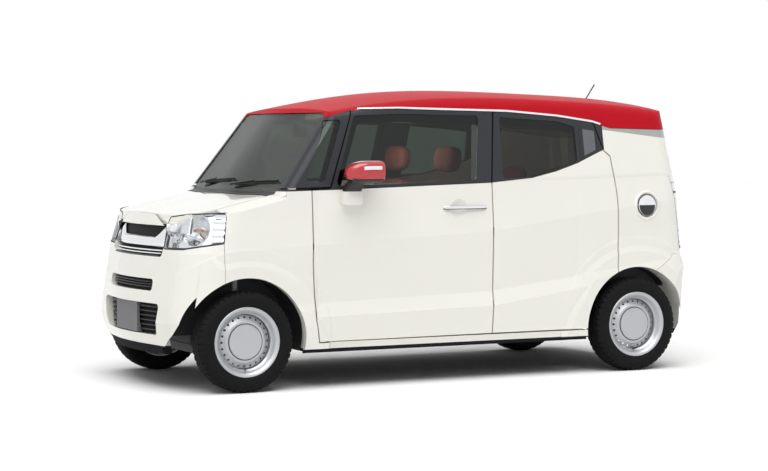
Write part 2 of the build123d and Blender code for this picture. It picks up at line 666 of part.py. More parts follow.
# Roof, with goose-neck arms for the tailgate's hinge
GATE_ARM_DROP = 85.0
GATE_ARM_THICKNESS = 15.0
GATE_SWEEP_RADIUS = 66.0
GATE_SWEEP_HALF = 320.0
with BuildPart() as roof_panel:
    add(wall(SKIN[0.0], SKIN[WALL], prism_y(ROOF_ZONE, -900, 900), (tailgate_gap, windscreen_zone)))
    hinge_x, hinge_z = TAILGATE_HINGE
    add(rod_y(hinge_x, hinge_z, GATE_SWEEP_RADIUS, -GATE_SWEEP_HALF, GATE_SWEEP_HALF), mode=Mode.SUBTRACT)
    foot_x = TAILGATE_FRONT_X + PANEL_GAP + 4.0
    low_z = hinge_z - GATE_ARM_DROP
    for y in (-TAILGATE_HINGE_Y, TAILGATE_HINGE_Y):
        width = (y - ARM_HALF, y + ARM_HALF)
        add(block((hinge_x - HINGE_ARM_HALF, hinge_x + HINGE_ARM_HALF), width, (low_z, hinge_z)))
        add(block((hinge_x - HINGE_ARM_HALF, foot_x + 20.0), width, (low_z, low_z + GATE_ARM_THICKNESS)))
        add(block((foot_x, foot_x + 20.0), width, (low_z, hinge_z - 10.0)))
        add(rod_y(hinge_x, hinge_z, HINGE_ARM_HALF, *width))
        add(rod_y(hinge_x, hinge_z, HINGE_PIN_RADIUS, y - PIN_HALF, y + PIN_HALF))
roof_panel.part.label = "roof_panel"
export_step(roof_panel.part, "parts/roof_panel.step")

# Bumpers, grille and lamps
front_cuts = (
    bonnet_gap,
    headlamp_zone,
    headlamp_zone_right,
    grille_zone,
    slot_zone,
    intake_zone,
    LEFT_WELLS,
    RIGHT_WELLS,
)
SLIVER_VOLUME = 1.0e5
bumper_face = wall(
    FRONT_OUTER, FRONT_SKIN[WALL], block((FRONT_SEAM_X + SEAM, NOSE_X + 50.0), (-900, 900), (150, 985)), front_cuts
)
with BuildPart() as front_bumper:
    for solid in bumper_face.solids():
        if solid.volume > SLIVER_VOLUME:
            add(solid)
front_bumper.part.label = "front_bumper"
export_step(front_bumper.part, "parts/front_bumper.step")

GRILLE_BARS = ((785.0, 842.0), (765.0, 773.0), (748.0, 757.0))
STRIP_LINK = (
    ((1565.0, 1600.0), (-100.0, 100.0), (862.0, 885.0)),
    ((1585.0, 1600.0), (-100.0, 100.0), (884.0, 905.0)),
)
with BuildPart() as front_grille:
    for zone in (grille_zone, slot_zone, intake_zone):
        add(wall(FRONT_SKIN[FRAME_WALL], FRONT_SKIN[DOOR_WALL], zone))
    for low, high in GRILLE_BARS:
        strip = block(FRONT_FACE_X, (-500, 500), (low, high))
        with BuildPart(mode=Mode.ADD):
            add(grille_zone)
            add(strip, mode=Mode.INTERSECT)
            add(FRONT_SKIN[GLASS_INSET], mode=Mode.INTERSECT)
            add(FRONT_SKIN[FRAME_WALL], mode=Mode.SUBTRACT)
    for link in STRIP_LINK:
        add(block(*link))
front_grille.part.label = "front_grille"
export_step(front_grille.part, "parts/front_grille.step")

PLATE_WIDTH = 330.0
PLATE_HEIGHT = 165.0
PLATE_FRONT_X = NOSE_X - 25.0
PLATE_LOW_Z = 310.0
PLATE_HOLE_SPACING = 210.0
PLATE_HOLE_RADIUS = 3.5
PLATE_HOLE_DROP = 20.0
PLATE_HOLE_DEPTH = 6.0
with BuildPart() as front_plate:
    half = PLATE_WIDTH / 2
    add(block((PLATE_FRONT_X - 60.0, PLATE_FRONT_X), (-half, half), (PLATE_LOW_Z, PLATE_LOW_Z + PLATE_HEIGHT)))
    add(FRONT_SKIN[FRAME_WALL], mode=Mode.SUBTRACT)
    hole_z = PLATE_LOW_Z + PLATE_HEIGHT - PLATE_HOLE_DROP
    with Locations(*[Location((PLATE_FRONT_X, sign * PLATE_HOLE_SPACING / 2, hole_z), (0, 90, 0)) for sign in (1, -1)]):
        Hole(PLATE_HOLE_RADIUS, PLATE_HOLE_DEPTH)
front_plate.part.label = "front_plate"
export_step(front_plate.part, "parts/front_plate.step")

with BuildPart() as rear_bumper:
    add(wall(OUTER, SKIN[WALL], prism_y(REAR_BUMPER, -900, 900), (tailgate_gap, LEFT_WELLS, RIGHT_WELLS)))
rear_bumper.part.label = "rear_bumper"
export_step(rear_bumper.part, "parts/rear_bumper.step")

with BuildPart() as headlamps:
    add(wall(LEFT_SKIN[0.0], LEFT_SKIN[STRUCTURE_DEPTH], headlamp_zone, (LEFT_WELLS,)))
    mirror(about=Plane.XZ)
headlamps.part.label = "headlamps"
export_step(headlamps.part, "parts/headlamps.step")

with BuildPart() as tail_lamps:
    add(wall(LEFT_SKIN[0.0], LEFT_SKIN[WALL], tail_lamp_zone))
    mirror(about=Plane.XZ)
tail_lamps.part.label = "tail_lamps"
export_step(tail_lamps.part, "parts/tail_lamps.step")

# Fixed glass
quarter_light = wall(LEFT_SKIN[GLASS_INSET], LEFT_SKIN[GLASS_INNER_INSET], quarter_light_zone)
with BuildPart() as fixed_glass:
    add(quarter_light)
    mirror(about=Plane.XZ)
    add(wall(SKIN[GLASS_INSET], SKIN[GLASS_INNER_INSET], windscreen_zone))
fixed_glass.part.label = "fixed_glass"
export_step(fixed_glass.part, "parts/fixed_glass.step")

# Cowl between bonnet and windscreen
with BuildPart() as cowl_panel:
    zone = block((985.0, BONNET_REAR_X), (SEAM - COWL_HALF, COWL_HALF - SEAM), (1000, 1160))
    add(wall(SKIN[0.0], SKIN[WALL], zone, (windscreen_zone, prism_z(bonnet_plan, 800, 1300, grow=COWL_GAP))))
cowl_panel.part.label = "cowl_panel"
export_step(cowl_panel.part, "parts/cowl_panel.step")

# Doors on the left, mirrored to the right
FRAME_Z = BELT_Z - 25.0
POCKET_HALF = ARM_HALF + 5.0
POCKET_BACK = HINGE_ARM_HALF + 8.0
POCKET_SKIN = HINGE_ARM_HALF + 2.0
PIN_BORE = HINGE_PIN_RADIUS + RUNNING_CLEARANCE
HANDLE_X = (-249.0, 34.0)
HANDLE_Z = (982.0, 1003.0)
DISH_CENTRE = (-71.5, 719.5, 992.0)
DISH_RADIUS = 57.0
DISH_DEPTH = 14.0
dish_ball = (DISH_RADIUS**2 + DISH_DEPTH**2) / (2.0 * DISH_DEPTH)
with BuildPart() as handle_dish:
    with Locations((DISH_CENTRE[0], DISH_CENTRE[1] + dish_ball - DISH_DEPTH, DISH_CENTRE[2])):
        Sphere(dish_ball)
DOORS = (
    # name, zone, extra cuts, glass outline, hinge x, hinge heights, lead edge x
    ("front_door", front_door_zone, (handle_dish.part,), FRONT_GLASS, FRONT_HINGE_X, FRONT_HINGE_Z, 900.0),
    ("rear_door", rear_door_zone, (rear_door_well,), REAR_GLASS, REAR_HINGE_X, REAR_HINGE_Z, B_LINE_X + 10.0),
)
above_belt = block((-1300, 900), LEFT, (FRAME_Z, 1700))
below_belt = block((-1300, 900), LEFT, (150, FRAME_Z))
for name, zone, cuts, glass_outline, hinge_x, hinge_heights, lead_x in DOORS:
    glass_zone = prism_y(glass_outline, *LEFT, radius=20.0)
    with BuildPart() as door:
        add(wall(LEFT_OUTER, LEFT_SKIN[DOOR_WALL], zone, (*cuts, above_belt)))
        add(wall(LEFT_SKIN[0.0], LEFT_SKIN[FRAME_WALL], zone, (below_belt,)))
        add(glass_zone, mode=Mode.SUBTRACT)
        with BuildPart(mode=Mode.SUBTRACT):
            add(block((hinge_x, lead_x), (500, HINGE_Y), (150, SWEEP_TOP_Z)))
            add(rod_z(hinge_x, HINGE_Y, LEAD_RADIUS, 100, SWEEP_TOP_Z + 100.0), mode=Mode.SUBTRACT)
        for z in hinge_heights:
            pocket = block((hinge_x - POCKET_BACK, lead_x), (500, HINGE_Y + POCKET_SKIN), (z - POCKET_HALF, z + POCKET_HALF))
            add(pocket, mode=Mode.SUBTRACT)
            add(rod_z(hinge_x, HINGE_Y, PIN_BORE, z - PIN_HALF - 1.0, z + PIN_HALF + 1.0), mode=Mode.SUBTRACT)
    door.part.label = f"{name}_left"
    export_step(door.part, f"parts/{name}_left.step")
    with BuildPart() as right_door:
        add(mirror(door.part, about=Plane.XZ, mode=Mode.PRIVATE))
    right_door.part.label = f"{name}_right"
    export_step(right_door.part, f"parts/{name}_right.step")
    with BuildPart() as glass:
        add(wall(LEFT_SKIN[GLASS_INSET], LEFT_SKIN[GLASS_INNER_INSET], glass_zone))
    glass.part.label = f"{name}_glass_left"
    export_step(glass.part, f"parts/{name}_glass_left.step")
    with BuildPart() as right_glass:
        add(mirror(glass.part, about=Plane.XZ, mode=Mode.PRIVATE))
    right_glass.part.label = f"{name}_glass_right"
    export_step(right_glass.part, f"parts/{name}_glass_right.step")

# Mirrors and handles on the front doors
MIRROR_HEAD = ((480.0, 700.0), (752.0, 886.0), (1140.0, 1262.0))
MIRROR_STALK = ((556.0, 684.0), (690.0, 800.0), (1060.0, 1160.0))
MIRROR_RADIUS = 38.0
with BuildPart() as mirror_left:
    add(block(*MIRROR_HEAD))
    fillet(mirror_left.edges().filter_by(Axis.Z), MIRROR_RADIUS)
    fillet(mirror_left.edges().group_by(Axis.Z)[-1], 26.0)
    fillet(mirror_left.edges().group_by(Axis.Z)[0], 20.0)
    with BuildPart(mode=Mode.ADD) as stalk:
        add(block(*MIRROR_STALK))
        fillet(stalk.edges().filter_by(Axis.Z), 20.0)
    add(LEFT_SKIN[0.0], mode=Mode.SUBTRACT)
HANDLE = (HANDLE_X, (700.0, 737.0), HANDLE_Z)
HANDLE_GRIP_Y = 727.0
with BuildPart() as handle_left:
    add(block(*HANDLE))
    add(block((HANDLE[0][0] + 60.0, HANDLE[0][1] - 60.0), (0, HANDLE_GRIP_Y), (900, 1100)), mode=Mode.SUBTRACT)
    add(LEFT_SKIN[0.0], mode=Mode.SUBTRACT)
for piece, name in ((mirror_left, "door_mirror"), (handle_left, "door_handle")):
    with BuildPart() as left_piece:
        add(piece.part)
    left_piece.part.label = f"{name}_left"
    export_step(left_piece.part, f"parts/{name}_left.step")
    with BuildPart() as right_piece:
        add(mirror(piece.part, about=Plane.XZ, mode=Mode.PRIVATE))
    right_piece.part.label = f"{name}_right"
    export_step(right_piece.part, f"parts/{name}_right.step")

# Bonnet with pockets for its hinge arms, its front lip drawn back so that it swings clear
BONNET_LIP_RADIUS = 391.0
BONNET_LIP_Z = 914.0
with BuildPart() as bonnet:
    add(wall(SKIN[0.0], SKIN[FRAME_WALL], bonnet_zone))
    hinge_x, hinge_z = BONNET_HINGE
    with BuildPart(mode=Mode.SUBTRACT):
        add(block((hinge_x + 200.0, NOSE_X), (-900, 900), (BONNET_LOW_Z - 50.0, hinge_z)))
        add(rod_y(hinge_x, hinge_z, BONNET_LIP_RADIUS, -950, 950), mode=Mode.SUBTRACT)
    add(block((hinge_x, NOSE_X), (-900, 900), (BONNET_LOW_Z - 50.0, BONNET_LIP_Z)), mode=Mode.SUBTRACT)
    for y in (-BONNET_HINGE_Y, BONNET_HINGE_Y):
        pocket_x = (BONNET_REAR_X - 100.0, hinge_x + POCKET_BACK)
        add(block(pocket_x, (y - POCKET_HALF, y + POCKET_HALF), (900, hinge_z + POCKET_SKIN)), mode=Mode.SUBTRACT)
        add(rod_y(hinge_x, hinge_z, PIN_BORE, y - PIN_HALF - 1.0, y + PIN_HALF + 1.0), mode=Mode.SUBTRACT)
bonnet.part.label = "bonnet"
export_step(bonnet.part, "parts/bonnet.step")

# Tailgate with its glass and plate
tail_glass_zone = prism_x(TAIL_GLASS, TAIL_X - 100.0, TAILGATE_FRONT_X, radius=30.0)
with BuildPart() as tailgate:
    add(wall(SKIN[0.0], SKIN[DOOR_WALL], tailgate_zone, (tail_glass_zone,)))
    hinge_x, hinge_z = TAILGATE_HINGE
    for y in (-TAILGATE_HINGE_Y, TAILGATE_HINGE_Y):
        pocket_x = (hinge_x - POCKET_BACK, TAILGATE_FRONT_X + 40.0)
        add(block(pocket_x, (y - POCKET_HALF, y + POCKET_HALF), (1440, hinge_z + POCKET_SKIN)), mode=Mode.SUBTRACT)
        add(rod_y(hinge_x, hinge_z, PIN_BORE, y - PIN_HALF - 1.0, y + PIN_HALF + 1.0), mode=Mode.SUBTRACT)
tailgate.part.label = "tailgate"
export_step(tailgate.part, "parts/tailgate.step")

with BuildPart() as tailgate_glass:
    add(wall(SKIN[GLASS_INSET], SKIN[GLASS_INNER_INSET], tail_glass_zone))
tailgate_glass.part.label = "tailgate_glass"
export_step(tailgate_glass.part, "parts/tailgate_glass.step")

REAR_PLATE_X = TAIL_X + 10.0
REAR_PLATE_LOW_Z = 745.0
with BuildPart() as rear_plate:
    half = PLATE_WIDTH / 2
    add(block((REAR_PLATE_X, REAR_PLATE_X + 60.0), (-half, half), (REAR_PLATE_LOW_Z, REAR_PLATE_LOW_Z + PLATE_HEIGHT)))
    add(SKIN[0.0], mode=Mode.SUBTRACT)
    hole_z = REAR_PLATE_LOW_Z + PLATE_HEIGHT - PLATE_HOLE_DROP
    with Locations(*[Location((REAR_PLATE_X, sign * PLATE_HOLE_SPACING / 2, hole_z), (0, -90, 0)) for sign in (1, -1)]):
        Hole(PLATE_HOLE_RADIUS, PLATE_HOLE_DEPTH)
rear_plate.part.label = "rear_plate"
export_step(rear_plate.part, "parts/rear_plate.step")

# Floor pan with bulkhead, raised rear floor and wheel houses
FLOOR = (205.0, 240.0)
REAR_FLOOR = (380.0, 410.0)
FLOOR_REAR_X = -600.0
BULKHEAD_X = (860.0, 900.0)
BULKHEAD_TOP_Z = 985.0
REAR_PANEL_X = -1570.0
PLATE_WALL = 20.0
floor_boxes = (
    block((FLOOR_REAR_X - PLATE_WALL, BULKHEAD_X[1]), (-700, 700), FLOOR),
    block((FLOOR_REAR_X - PLATE_WALL, FLOOR_REAR_X), (-700, 700), (FLOOR[0], REAR_FLOOR[1])),
    block((-1590.0, FLOOR_REAR_X), (-700, 700), REAR_FLOOR),
    block(BULKHEAD_X, (-700, 700), (FLOOR[0], BULKHEAD_TOP_Z)),
)
ROOM = 10.0
PIPE_NOTCH_X = (870.0, 910.0)
PIPE_NOTCH_Y = (-215.0, -145.0)
TUNNEL_HALF = 90.0
TUNNEL_TOP_Z = 300.0
with BuildPart() as floor_pan:
    for box in floor_boxes:
        add(box)
    add(SKIN[STRUCTURE_DEPTH], mode=Mode.INTERSECT)
    add(block((FLOOR_REAR_X, BULKHEAD_X[0]), (-TUNNEL_HALF, TUNNEL_HALF), (FLOOR[1], TUNNEL_TOP_Z)))
    with BuildPart(mode=Mode.ADD):
        add(block((BULKHEAD_X[0], 1062.0), (20.0 - COWL_HALF, COWL_HALF - 20.0), (BULKHEAD_TOP_Z - PLATE_WALL, 1060)))
        add(block((TAIL_X, REAR_PANEL_X), (-640, 640), (300, TAILGATE_BOTTOM_Z - 20.0)))
        for sign in (1, -1):
            add(rod_y(FRONT_AXLE_X, TYRE_RADIUS, FRONT_WELL_RADIUS + WELL_WALL, sign * (FRONT_WELL_Y - WELL_WALL), sign * 700))
            add(rod_y(REAR_AXLE_X, TYRE_RADIUS, REAR_ARCH_RADIUS + WELL_WALL, sign * (REAR_WELL_Y - WELL_WALL), sign * 700))
        add(block((TAIL_X, NOSE_X), (-900, 900), (-200, 300.0)), mode=Mode.SUBTRACT)
        add(SKIN[WALL], mode=Mode.INTERSECT)
        add(side_frames.part, mode=Mode.SUBTRACT)
    add(LEFT_WELLS, mode=Mode.SUBTRACT)
    add(RIGHT_WELLS, mode=Mode.SUBTRACT)
    for sign in (1, -1):
        add(rod_z(FRONT_AXLE_X, sign * KINGPIN_Y, STRUT_RADIUS + ROOM, 600, 720), mode=Mode.SUBTRACT)
        add(rod_y(REAR_AXLE_X, TYRE_RADIUS, SPINDLE_RADIUS + ROOM, sign * 500, sign * 560), mode=Mode.SUBTRACT)
    add(block(PIPE_NOTCH_X, PIPE_NOTCH_Y, (FLOOR[0] - 5.0, FLOOR[1])), mode=Mode.SUBTRACT)
floor_pan.part.label = "floor_pan"
export_step(floor_pan.part, "parts/floor_pan.step")

# Front frame: rails, core support, crash beams, strut towers and bonnet arms
RAIL_Y = (322.0, 385.0)
RAIL_Z = (380.0, 470.0)
CORE_X = (1480.0, 1520.0)
CORE_POST_Y = (430.0, 480.0)
BEAM_HEIGHTS = ((490.0, 538.0), (622.0, 722.0))
TOWER_X = 70.0
TOWER_CAP = (800.0, 825.0)
TOWER_Y = (385.0, 615.0)
TOWER_WALL = 15.0
with BuildPart() as front_frame:
    for sign in (1, -1):
        add(block((BULKHEAD_X[1], CORE_X[1]), tuple(sorted((sign * RAIL_Y[0], sign * RAIL_Y[1]))), RAIL_Z))
        add(block(CORE_X, tuple(sorted((sign * RAIL_Y[0], sign * CORE_POST_Y[1]))), (RAIL_Z[0], 860.0)))
        tower_x = (FRONT_AXLE_X - TOWER_X, FRONT_AXLE_X + TOWER_X)
        tower_y = tuple(sorted((sign * TOWER_Y[0], sign * TOWER_Y[1])))
        room_y = tuple(sorted((sign * (TOWER_Y[0] + TOWER_WALL), sign * (TOWER_Y[1] - TOWER_WALL))))
        room_x = (tower_x[0] + TOWER_WALL, tower_x[1] - TOWER_WALL)
        add(block(tower_x, tower_y, (TYRE_RADIUS + 340.0, TOWER_CAP[1])))
        add(block(room_x, room_y, (0.0, TOWER_CAP[0])), mode=Mode.SUBTRACT)
        arm_y = (sign * BONNET_HINGE_Y - ARM_HALF, sign * BONNET_HINGE_Y + ARM_HALF)
        hinge_x, hinge_z = BONNET_HINGE
        add(block((hinge_x - HINGE_ARM_HALF, hinge_x + HINGE_ARM_HALF), arm_y, (TOWER_CAP[1], hinge_z)))
        add(rod_y(hinge_x, hinge_z, HINGE_ARM_HALF, *arm_y))
        add(rod_y(hinge_x, hinge_z, HINGE_PIN_RADIUS, sign * BONNET_HINGE_Y - PIN_HALF, sign * BONNET_HINGE_Y + PIN_HALF))
    add(block(CORE_X, (-CORE_POST_Y[1], CORE_POST_Y[1]), (835.0, 860.0)))
    with BuildPart(mode=Mode.ADD):
        for low, high in BEAM_HEIGHTS:
            add(block((CORE_X[0], NOSE_X), (-CORE_POST_Y[1], CORE_POST_Y[1]), (low, high)))
        add(SKIN[WALL], mode=Mode.INTERSECT)
    add(LEFT_WELLS, mode=Mode.SUBTRACT)
    add(RIGHT_WELLS, mode=Mode.SUBTRACT)
    add(floor_pan.part, mode=Mode.SUBTRACT)
    add(headlamps.part, mode=Mode.SUBTRACT)
    for sign in (1, -1):
        bore = STUD_RADIUS + RUNNING_CLEARANCE
        add(rod_z(FRONT_AXLE_X, sign * KINGPIN_Y, bore, TOWER_CAP[0] - 5.0, TOWER_CAP[1] + 5.0), mode=Mode.SUBTRACT)
front_frame.part.label = "front_frame"
export_step(front_frame.part, "parts/front_frame.step")

# Front subframe with lower arms
SUBFRAME_X = (1085.0, 1400.0)
SUBFRAME_Z = (190.0, 235.0)
SUBFRAME_HALF = 315.0
LOWER_ARM_Z = (160.0, 186.0)
LOWER_ARM_HALF = 24.0
with BuildPart() as front_subframe:
    add(block(SUBFRAME_X, (-SUBFRAME_HALF, SUBFRAME_HALF), SUBFRAME_Z))
    for sign in (1, -1):
        for x in SUBFRAME_X:
            leg_x = (x, x + 40.0) if x == SUBFRAME_X[0] else (x - 40.0, x)
            leg_y = tuple(sorted((sign * (SUBFRAME_HALF - 20.0), sign * RAIL_Y[1])))
            add(block(leg_x, leg_y, (SUBFRAME_Z[0], SUBFRAME_Z[1])))
            add(block(leg_x, tuple(sorted((sign * RAIL_Y[0], sign * RAIL_Y[1]))), (SUBFRAME_Z[0], RAIL_Z[0])))
        arm_x = (FRONT_AXLE_X - LOWER_ARM_HALF, FRONT_AXLE_X + LOWER_ARM_HALF)
        add(block(arm_x, tuple(sorted((sign * 220.0, sign * KINGPIN_Y))), LOWER_ARM_Z))
        add(block(arm_x, tuple(sorted((sign * 220.0, sign * 280.0))), (LOWER_ARM_Z[0], SUBFRAME_Z[0])))
        add(rod_z(FRONT_AXLE_X, sign * KINGPIN_Y, LOWER_ARM_HALF, *LOWER_ARM_Z))
        add(rod_z(FRONT_AXLE_X, sign * KINGPIN_Y, STUD_RADIUS + RUNNING_CLEARANCE, LOWER_ARM_Z[0] - 5.0, LOWER_ARM_Z[1] + 5.0), mode=Mode.SUBTRACT)
front_subframe.part.label = "front_subframe"
export_step(front_subframe.part, "parts/front_subframe.step")

# Engine as one plain block
ENGINE_X = (1020.0, 1395.0)
ENGINE_HALF = 300.0
ENGINE_TOP_Z = 780.0
with BuildPart() as engine:
    add(block(ENGINE_X, (-ENGINE_HALF, ENGINE_HALF), (SUBFRAME_Z[1], ENGINE_TOP_Z)))
    fillet(engine.edges().filter_by(Axis.Z), 40.0)
engine.part.label = "engine"
export_step(engine.part, "parts/engine.step")

# Knuckles with strut, hub and brake disc
KNUCKLE_X = 45.0
KNUCKLE_Z = (232.0, 345.0)
BRAKE_RADIUS = 120.0
SPINDLE_END_Y = WHEEL_Y + 26.0
STRUT_BASE_Z = KNUCKLE_Z[0]
for side, sign in (("left", 1), ("right", -1)):
    with BuildPart() as knuckle:
        kingpin = (FRONT_AXLE_X, sign * KINGPIN_Y)
        add(rod_z(*kingpin, STRUT_RADIUS, STRUT_BASE_Z, STRUT_TOP_Z))
        add(rod_z(*kingpin, STUD_RADIUS, LOWER_ARM_Z[0], TOWER_CAP[1]))
        add(block((FRONT_AXLE_X - KNUCKLE_X, FRONT_AXLE_X + KNUCKLE_X), tuple(sorted((sign * (KINGPIN_Y - 15.0), sign * 602.0))), KNUCKLE_Z))
        add(rod_y(FRONT_AXLE_X, TYRE_RADIUS, BRAKE_RADIUS, sign * 602.0, sign * 622.0))
        add(rod_y(FRONT_AXLE_X, TYRE_RADIUS, SPINDLE_RADIUS, sign * 602.0, sign * SPINDLE_END_Y))
    knuckle.part.label = f"knuckle_{side}"
    export_step(knuckle.part, f"parts/knuckle_{side}.step")

# Rear torsion-beam axle
BEAM_X = REAR_AXLE_X + 75.0
BEAM_RADIUS = 34.0
TRAIL_ARM_Y = (462.0, 515.0)
TRAIL_ARM_Z = (250.0, 306.0)
PIVOT_X = REAR_AXLE_X + 400.0
with BuildPart() as rear_axle:
    add(rod_y(BEAM_X, TYRE_RADIUS, BEAM_RADIUS, -TRAIL_ARM_Y[0], TRAIL_ARM_Y[0]))
    for sign in (1, -1):
        arm_y = tuple(sorted((sign * TRAIL_ARM_Y[0], sign * TRAIL_ARM_Y[1])))
        add(block((REAR_AXLE_X - 45.0, PIVOT_X), arm_y, TRAIL_ARM_Z))
        add(block((PIVOT_X - 50.0, PIVOT_X), arm_y, (TRAIL_ARM_Z[0], REAR_FLOOR[0])))
        add(rod_z(REAR_AXLE_X + 40.0, sign * 488.0, 25.0, TRAIL_ARM_Z[1], REAR_FLOOR[0]))
        add(rod_y(REAR_AXLE_X, TYRE_RADIUS, SPINDLE_RADIUS, sign * TRAIL_ARM_Y[1], sign * SPINDLE_END_Y))
        add(rod_y(REAR_AXLE_X, TYRE_RADIUS, BRAKE_RADIUS - 10.0, sign * 592.0, sign * 622.0))
rear_axle.part.label = "rear_axle"
export_step(rear_axle.part, "parts/rear_axle.step")

# Wheels: rim and tyre are turned sections, (radius, offset outward)
RIM_INNER = BEAD_RADIUS - BARREL_WALL
RIM_SECTION = (
    (SPINDLE_RADIUS + RUNNING_CLEARANCE, HUB_FACE_Y),
    (SPINDLE_RADIUS + RUNNING_CLEARANCE, DISC_Y - 4.0),
    (0.0, DISC_Y - 4.0),
    (0.0, DISC_Y + DISC_THICKNESS),
    (CAP_RADIUS, DISC_Y + DISC_THICKNESS),
    (CAP_RADIUS, DISC_Y + 4.0),
    (140.0, DISC_Y),
    (158.0, DISC_Y - 16.0),
    (RIM_INNER, DISC_Y - 18.0),
    (RIM_INNER, FLANGE_Y - 4.0),
    (FLANGE_RADIUS - 12.0, FLANGE_Y + FLANGE_THICKNESS),
    (FLANGE_RADIUS, FLANGE_Y + FLANGE_THICKNESS),
    (FLANGE_RADIUS, FLANGE_Y),
    (BEAD_RADIUS, FLANGE_Y),
    (BEAD_RADIUS, -FLANGE_Y),
    (FLANGE_RADIUS, -FLANGE_Y),
    (FLANGE_RADIUS, -FLANGE_Y - FLANGE_THICKNESS),
    (RIM_INNER, -FLANGE_Y - FLANGE_THICKNESS),
    (RIM_INNER, DISC_Y - 28.0),
    (150.0, DISC_Y - 24.0),
    (132.0, DISC_Y - 9.0),
    (75.0, DISC_Y - 9.0),
    (60.0, HUB_FACE_Y),
)
TREAD_HALF = 56.0
TYRE_SECTION = (
    (BEAD_RADIUS, FLANGE_Y),
    (FLANGE_RADIUS, FLANGE_Y),
    (FLANGE_RADIUS + 8.0, FLANGE_Y + 6.0),
    (TYRE_RADIUS - 42.0, TYRE_HALF_WIDTH),
    (TYRE_RADIUS - 16.0, TYRE_HALF_WIDTH - 4.0),
    (TYRE_RADIUS, TREAD_HALF),
)
tyre_ring = TYRE_SECTION + tuple((r, -y) for r, y in reversed(TYRE_SECTION))
WHEELS = (
    # name, axle x, side
    ("front_left", FRONT_AXLE_X, 1),
    ("front_right", FRONT_AXLE_X, -1),
    ("rear_left", REAR_AXLE_X, 1),
    ("rear_right", REAR_AXLE_X, -1),
)
for name, axle_x, sign in WHEELS:
    centre = (axle_x, sign * WHEEL_Y, TYRE_RADIUS)
    for kind, section in (("rim", RIM_SECTION), ("tyre", tyre_ring)):
        with BuildPart() as turned:
            with BuildSketch(Plane(centre, x_dir=(0, 0, 1), z_dir=(1, 0, 0))):
                with BuildLine():
                    Polyline(*[(r, -sign * y) for r, y in section], close=True)
                make_face()
            revolve(axis=Axis(centre, (0, 1, 0)))
        turned.part.label = f"{kind}_{name}"
        export_step(turned.part, f"parts/{kind}_{name}.step")

# Fuel tank and exhaust under the floor
TANK_X = (-960.0, -640.0)
TANK_HALF = 330.0
TANK_LOW_Z = 215.0
with BuildPart() as fuel_tank:
    add(block(TANK_X, (-TANK_HALF, TANK_HALF), (TANK_LOW_Z, REAR_FLOOR[0])))
    fillet(fuel_tank.edges().filter_by(Axis.Z), 40.0)
fuel_tank.part.label = "fuel_tank"
export_step(fuel_tank.part, "parts/fuel_tank.step")

PIPE_RADIUS = 22.0
PIPE_PATH = ((ENGINE_X[0], -180.0, 300.0), (960.0, -180.0, 300.0), (900.0, -180.0, 178.0), (-1080.0, -180.0, 178.0), (-1330.0, -180.0, 178.0), (-1400.0, -180.0, 240.0))
MUFFLER = ((-1525.0, -1390.0), (-420.0, -60.0), (190.0, 300.0))
with BuildPart() as exhaust:
    with BuildLine() as pipe_line:
        FilletPolyline(*PIPE_PATH, radius=[50.0, 50.0, 0, 50.0])
    with BuildSketch(Plane(origin=PIPE_PATH[0], z_dir=(-1, 0, 0))):
        Circle(PIPE_RADIUS)
    sweep(path=pipe_line.wire())
    add(block(*MUFFLER))
    for y in (MUFFLER[1][0] + 60.0, MUFFLER[1][1] - 60.0):
        add(rod_z(-1475.0, y, 8.0, MUFFLER[2][1], REAR_FLOOR[0]))
exhaust.part.label = "exhaust"
export_step(exhaust.part, "parts/exhaust.step")

# Cabin: dashboard, steering wheel and seats
DASH_PROFILE = ((BULKHEAD_X[0], 985.0), (700.0, 1000.0), (600.0, 940.0), (640.0, 800.0), (690.0, 640.0), (BULKHEAD_X[0], 600.0))
with BuildPart() as dashboard:
    add(prism_y(DASH_PROFILE, -700.0, 700.0))
    add(SKIN[STRUCTURE_DEPTH], mode=Mode.INTERSECT)
dashboard.part.label = "dashboard"
export_step(dashboard.part, "parts/dashboard.step")

WHEEL_CENTRE = (500.0, -330.0, 930.0)
WHEEL_TILT = 25.0
WHEEL_RIM_RADIUS = 172.0
WHEEL_GRIP_RADIUS = 14.0
COLUMN_RADIUS = 34.0
COLUMN_LENGTH = 125.0
tilt = math.radians(WHEEL_TILT)
column_dir = (math.cos(tilt), 0.0, -math.sin(tilt))
with BuildPart() as steering_wheel:
    with Locations(Plane(origin=WHEEL_CENTRE, x_dir=(0, 1, 0), z_dir=column_dir).location):
        Torus(WHEEL_RIM_RADIUS, WHEEL_GRIP_RADIUS)
        Cylinder(62.0, 40.0)
        Box(2 * WHEEL_RIM_RADIUS, 40.0, 16.0)
        with Locations((0, 0, COLUMN_LENGTH / 2)):
            Cylinder(COLUMN_RADIUS, COLUMN_LENGTH)
    add(dashboard.part, mode=Mode.SUBTRACT)
steering_wheel.part.label = "steering_wheel"
export_step(steering_wheel.part, "parts/steering_wheel.step")

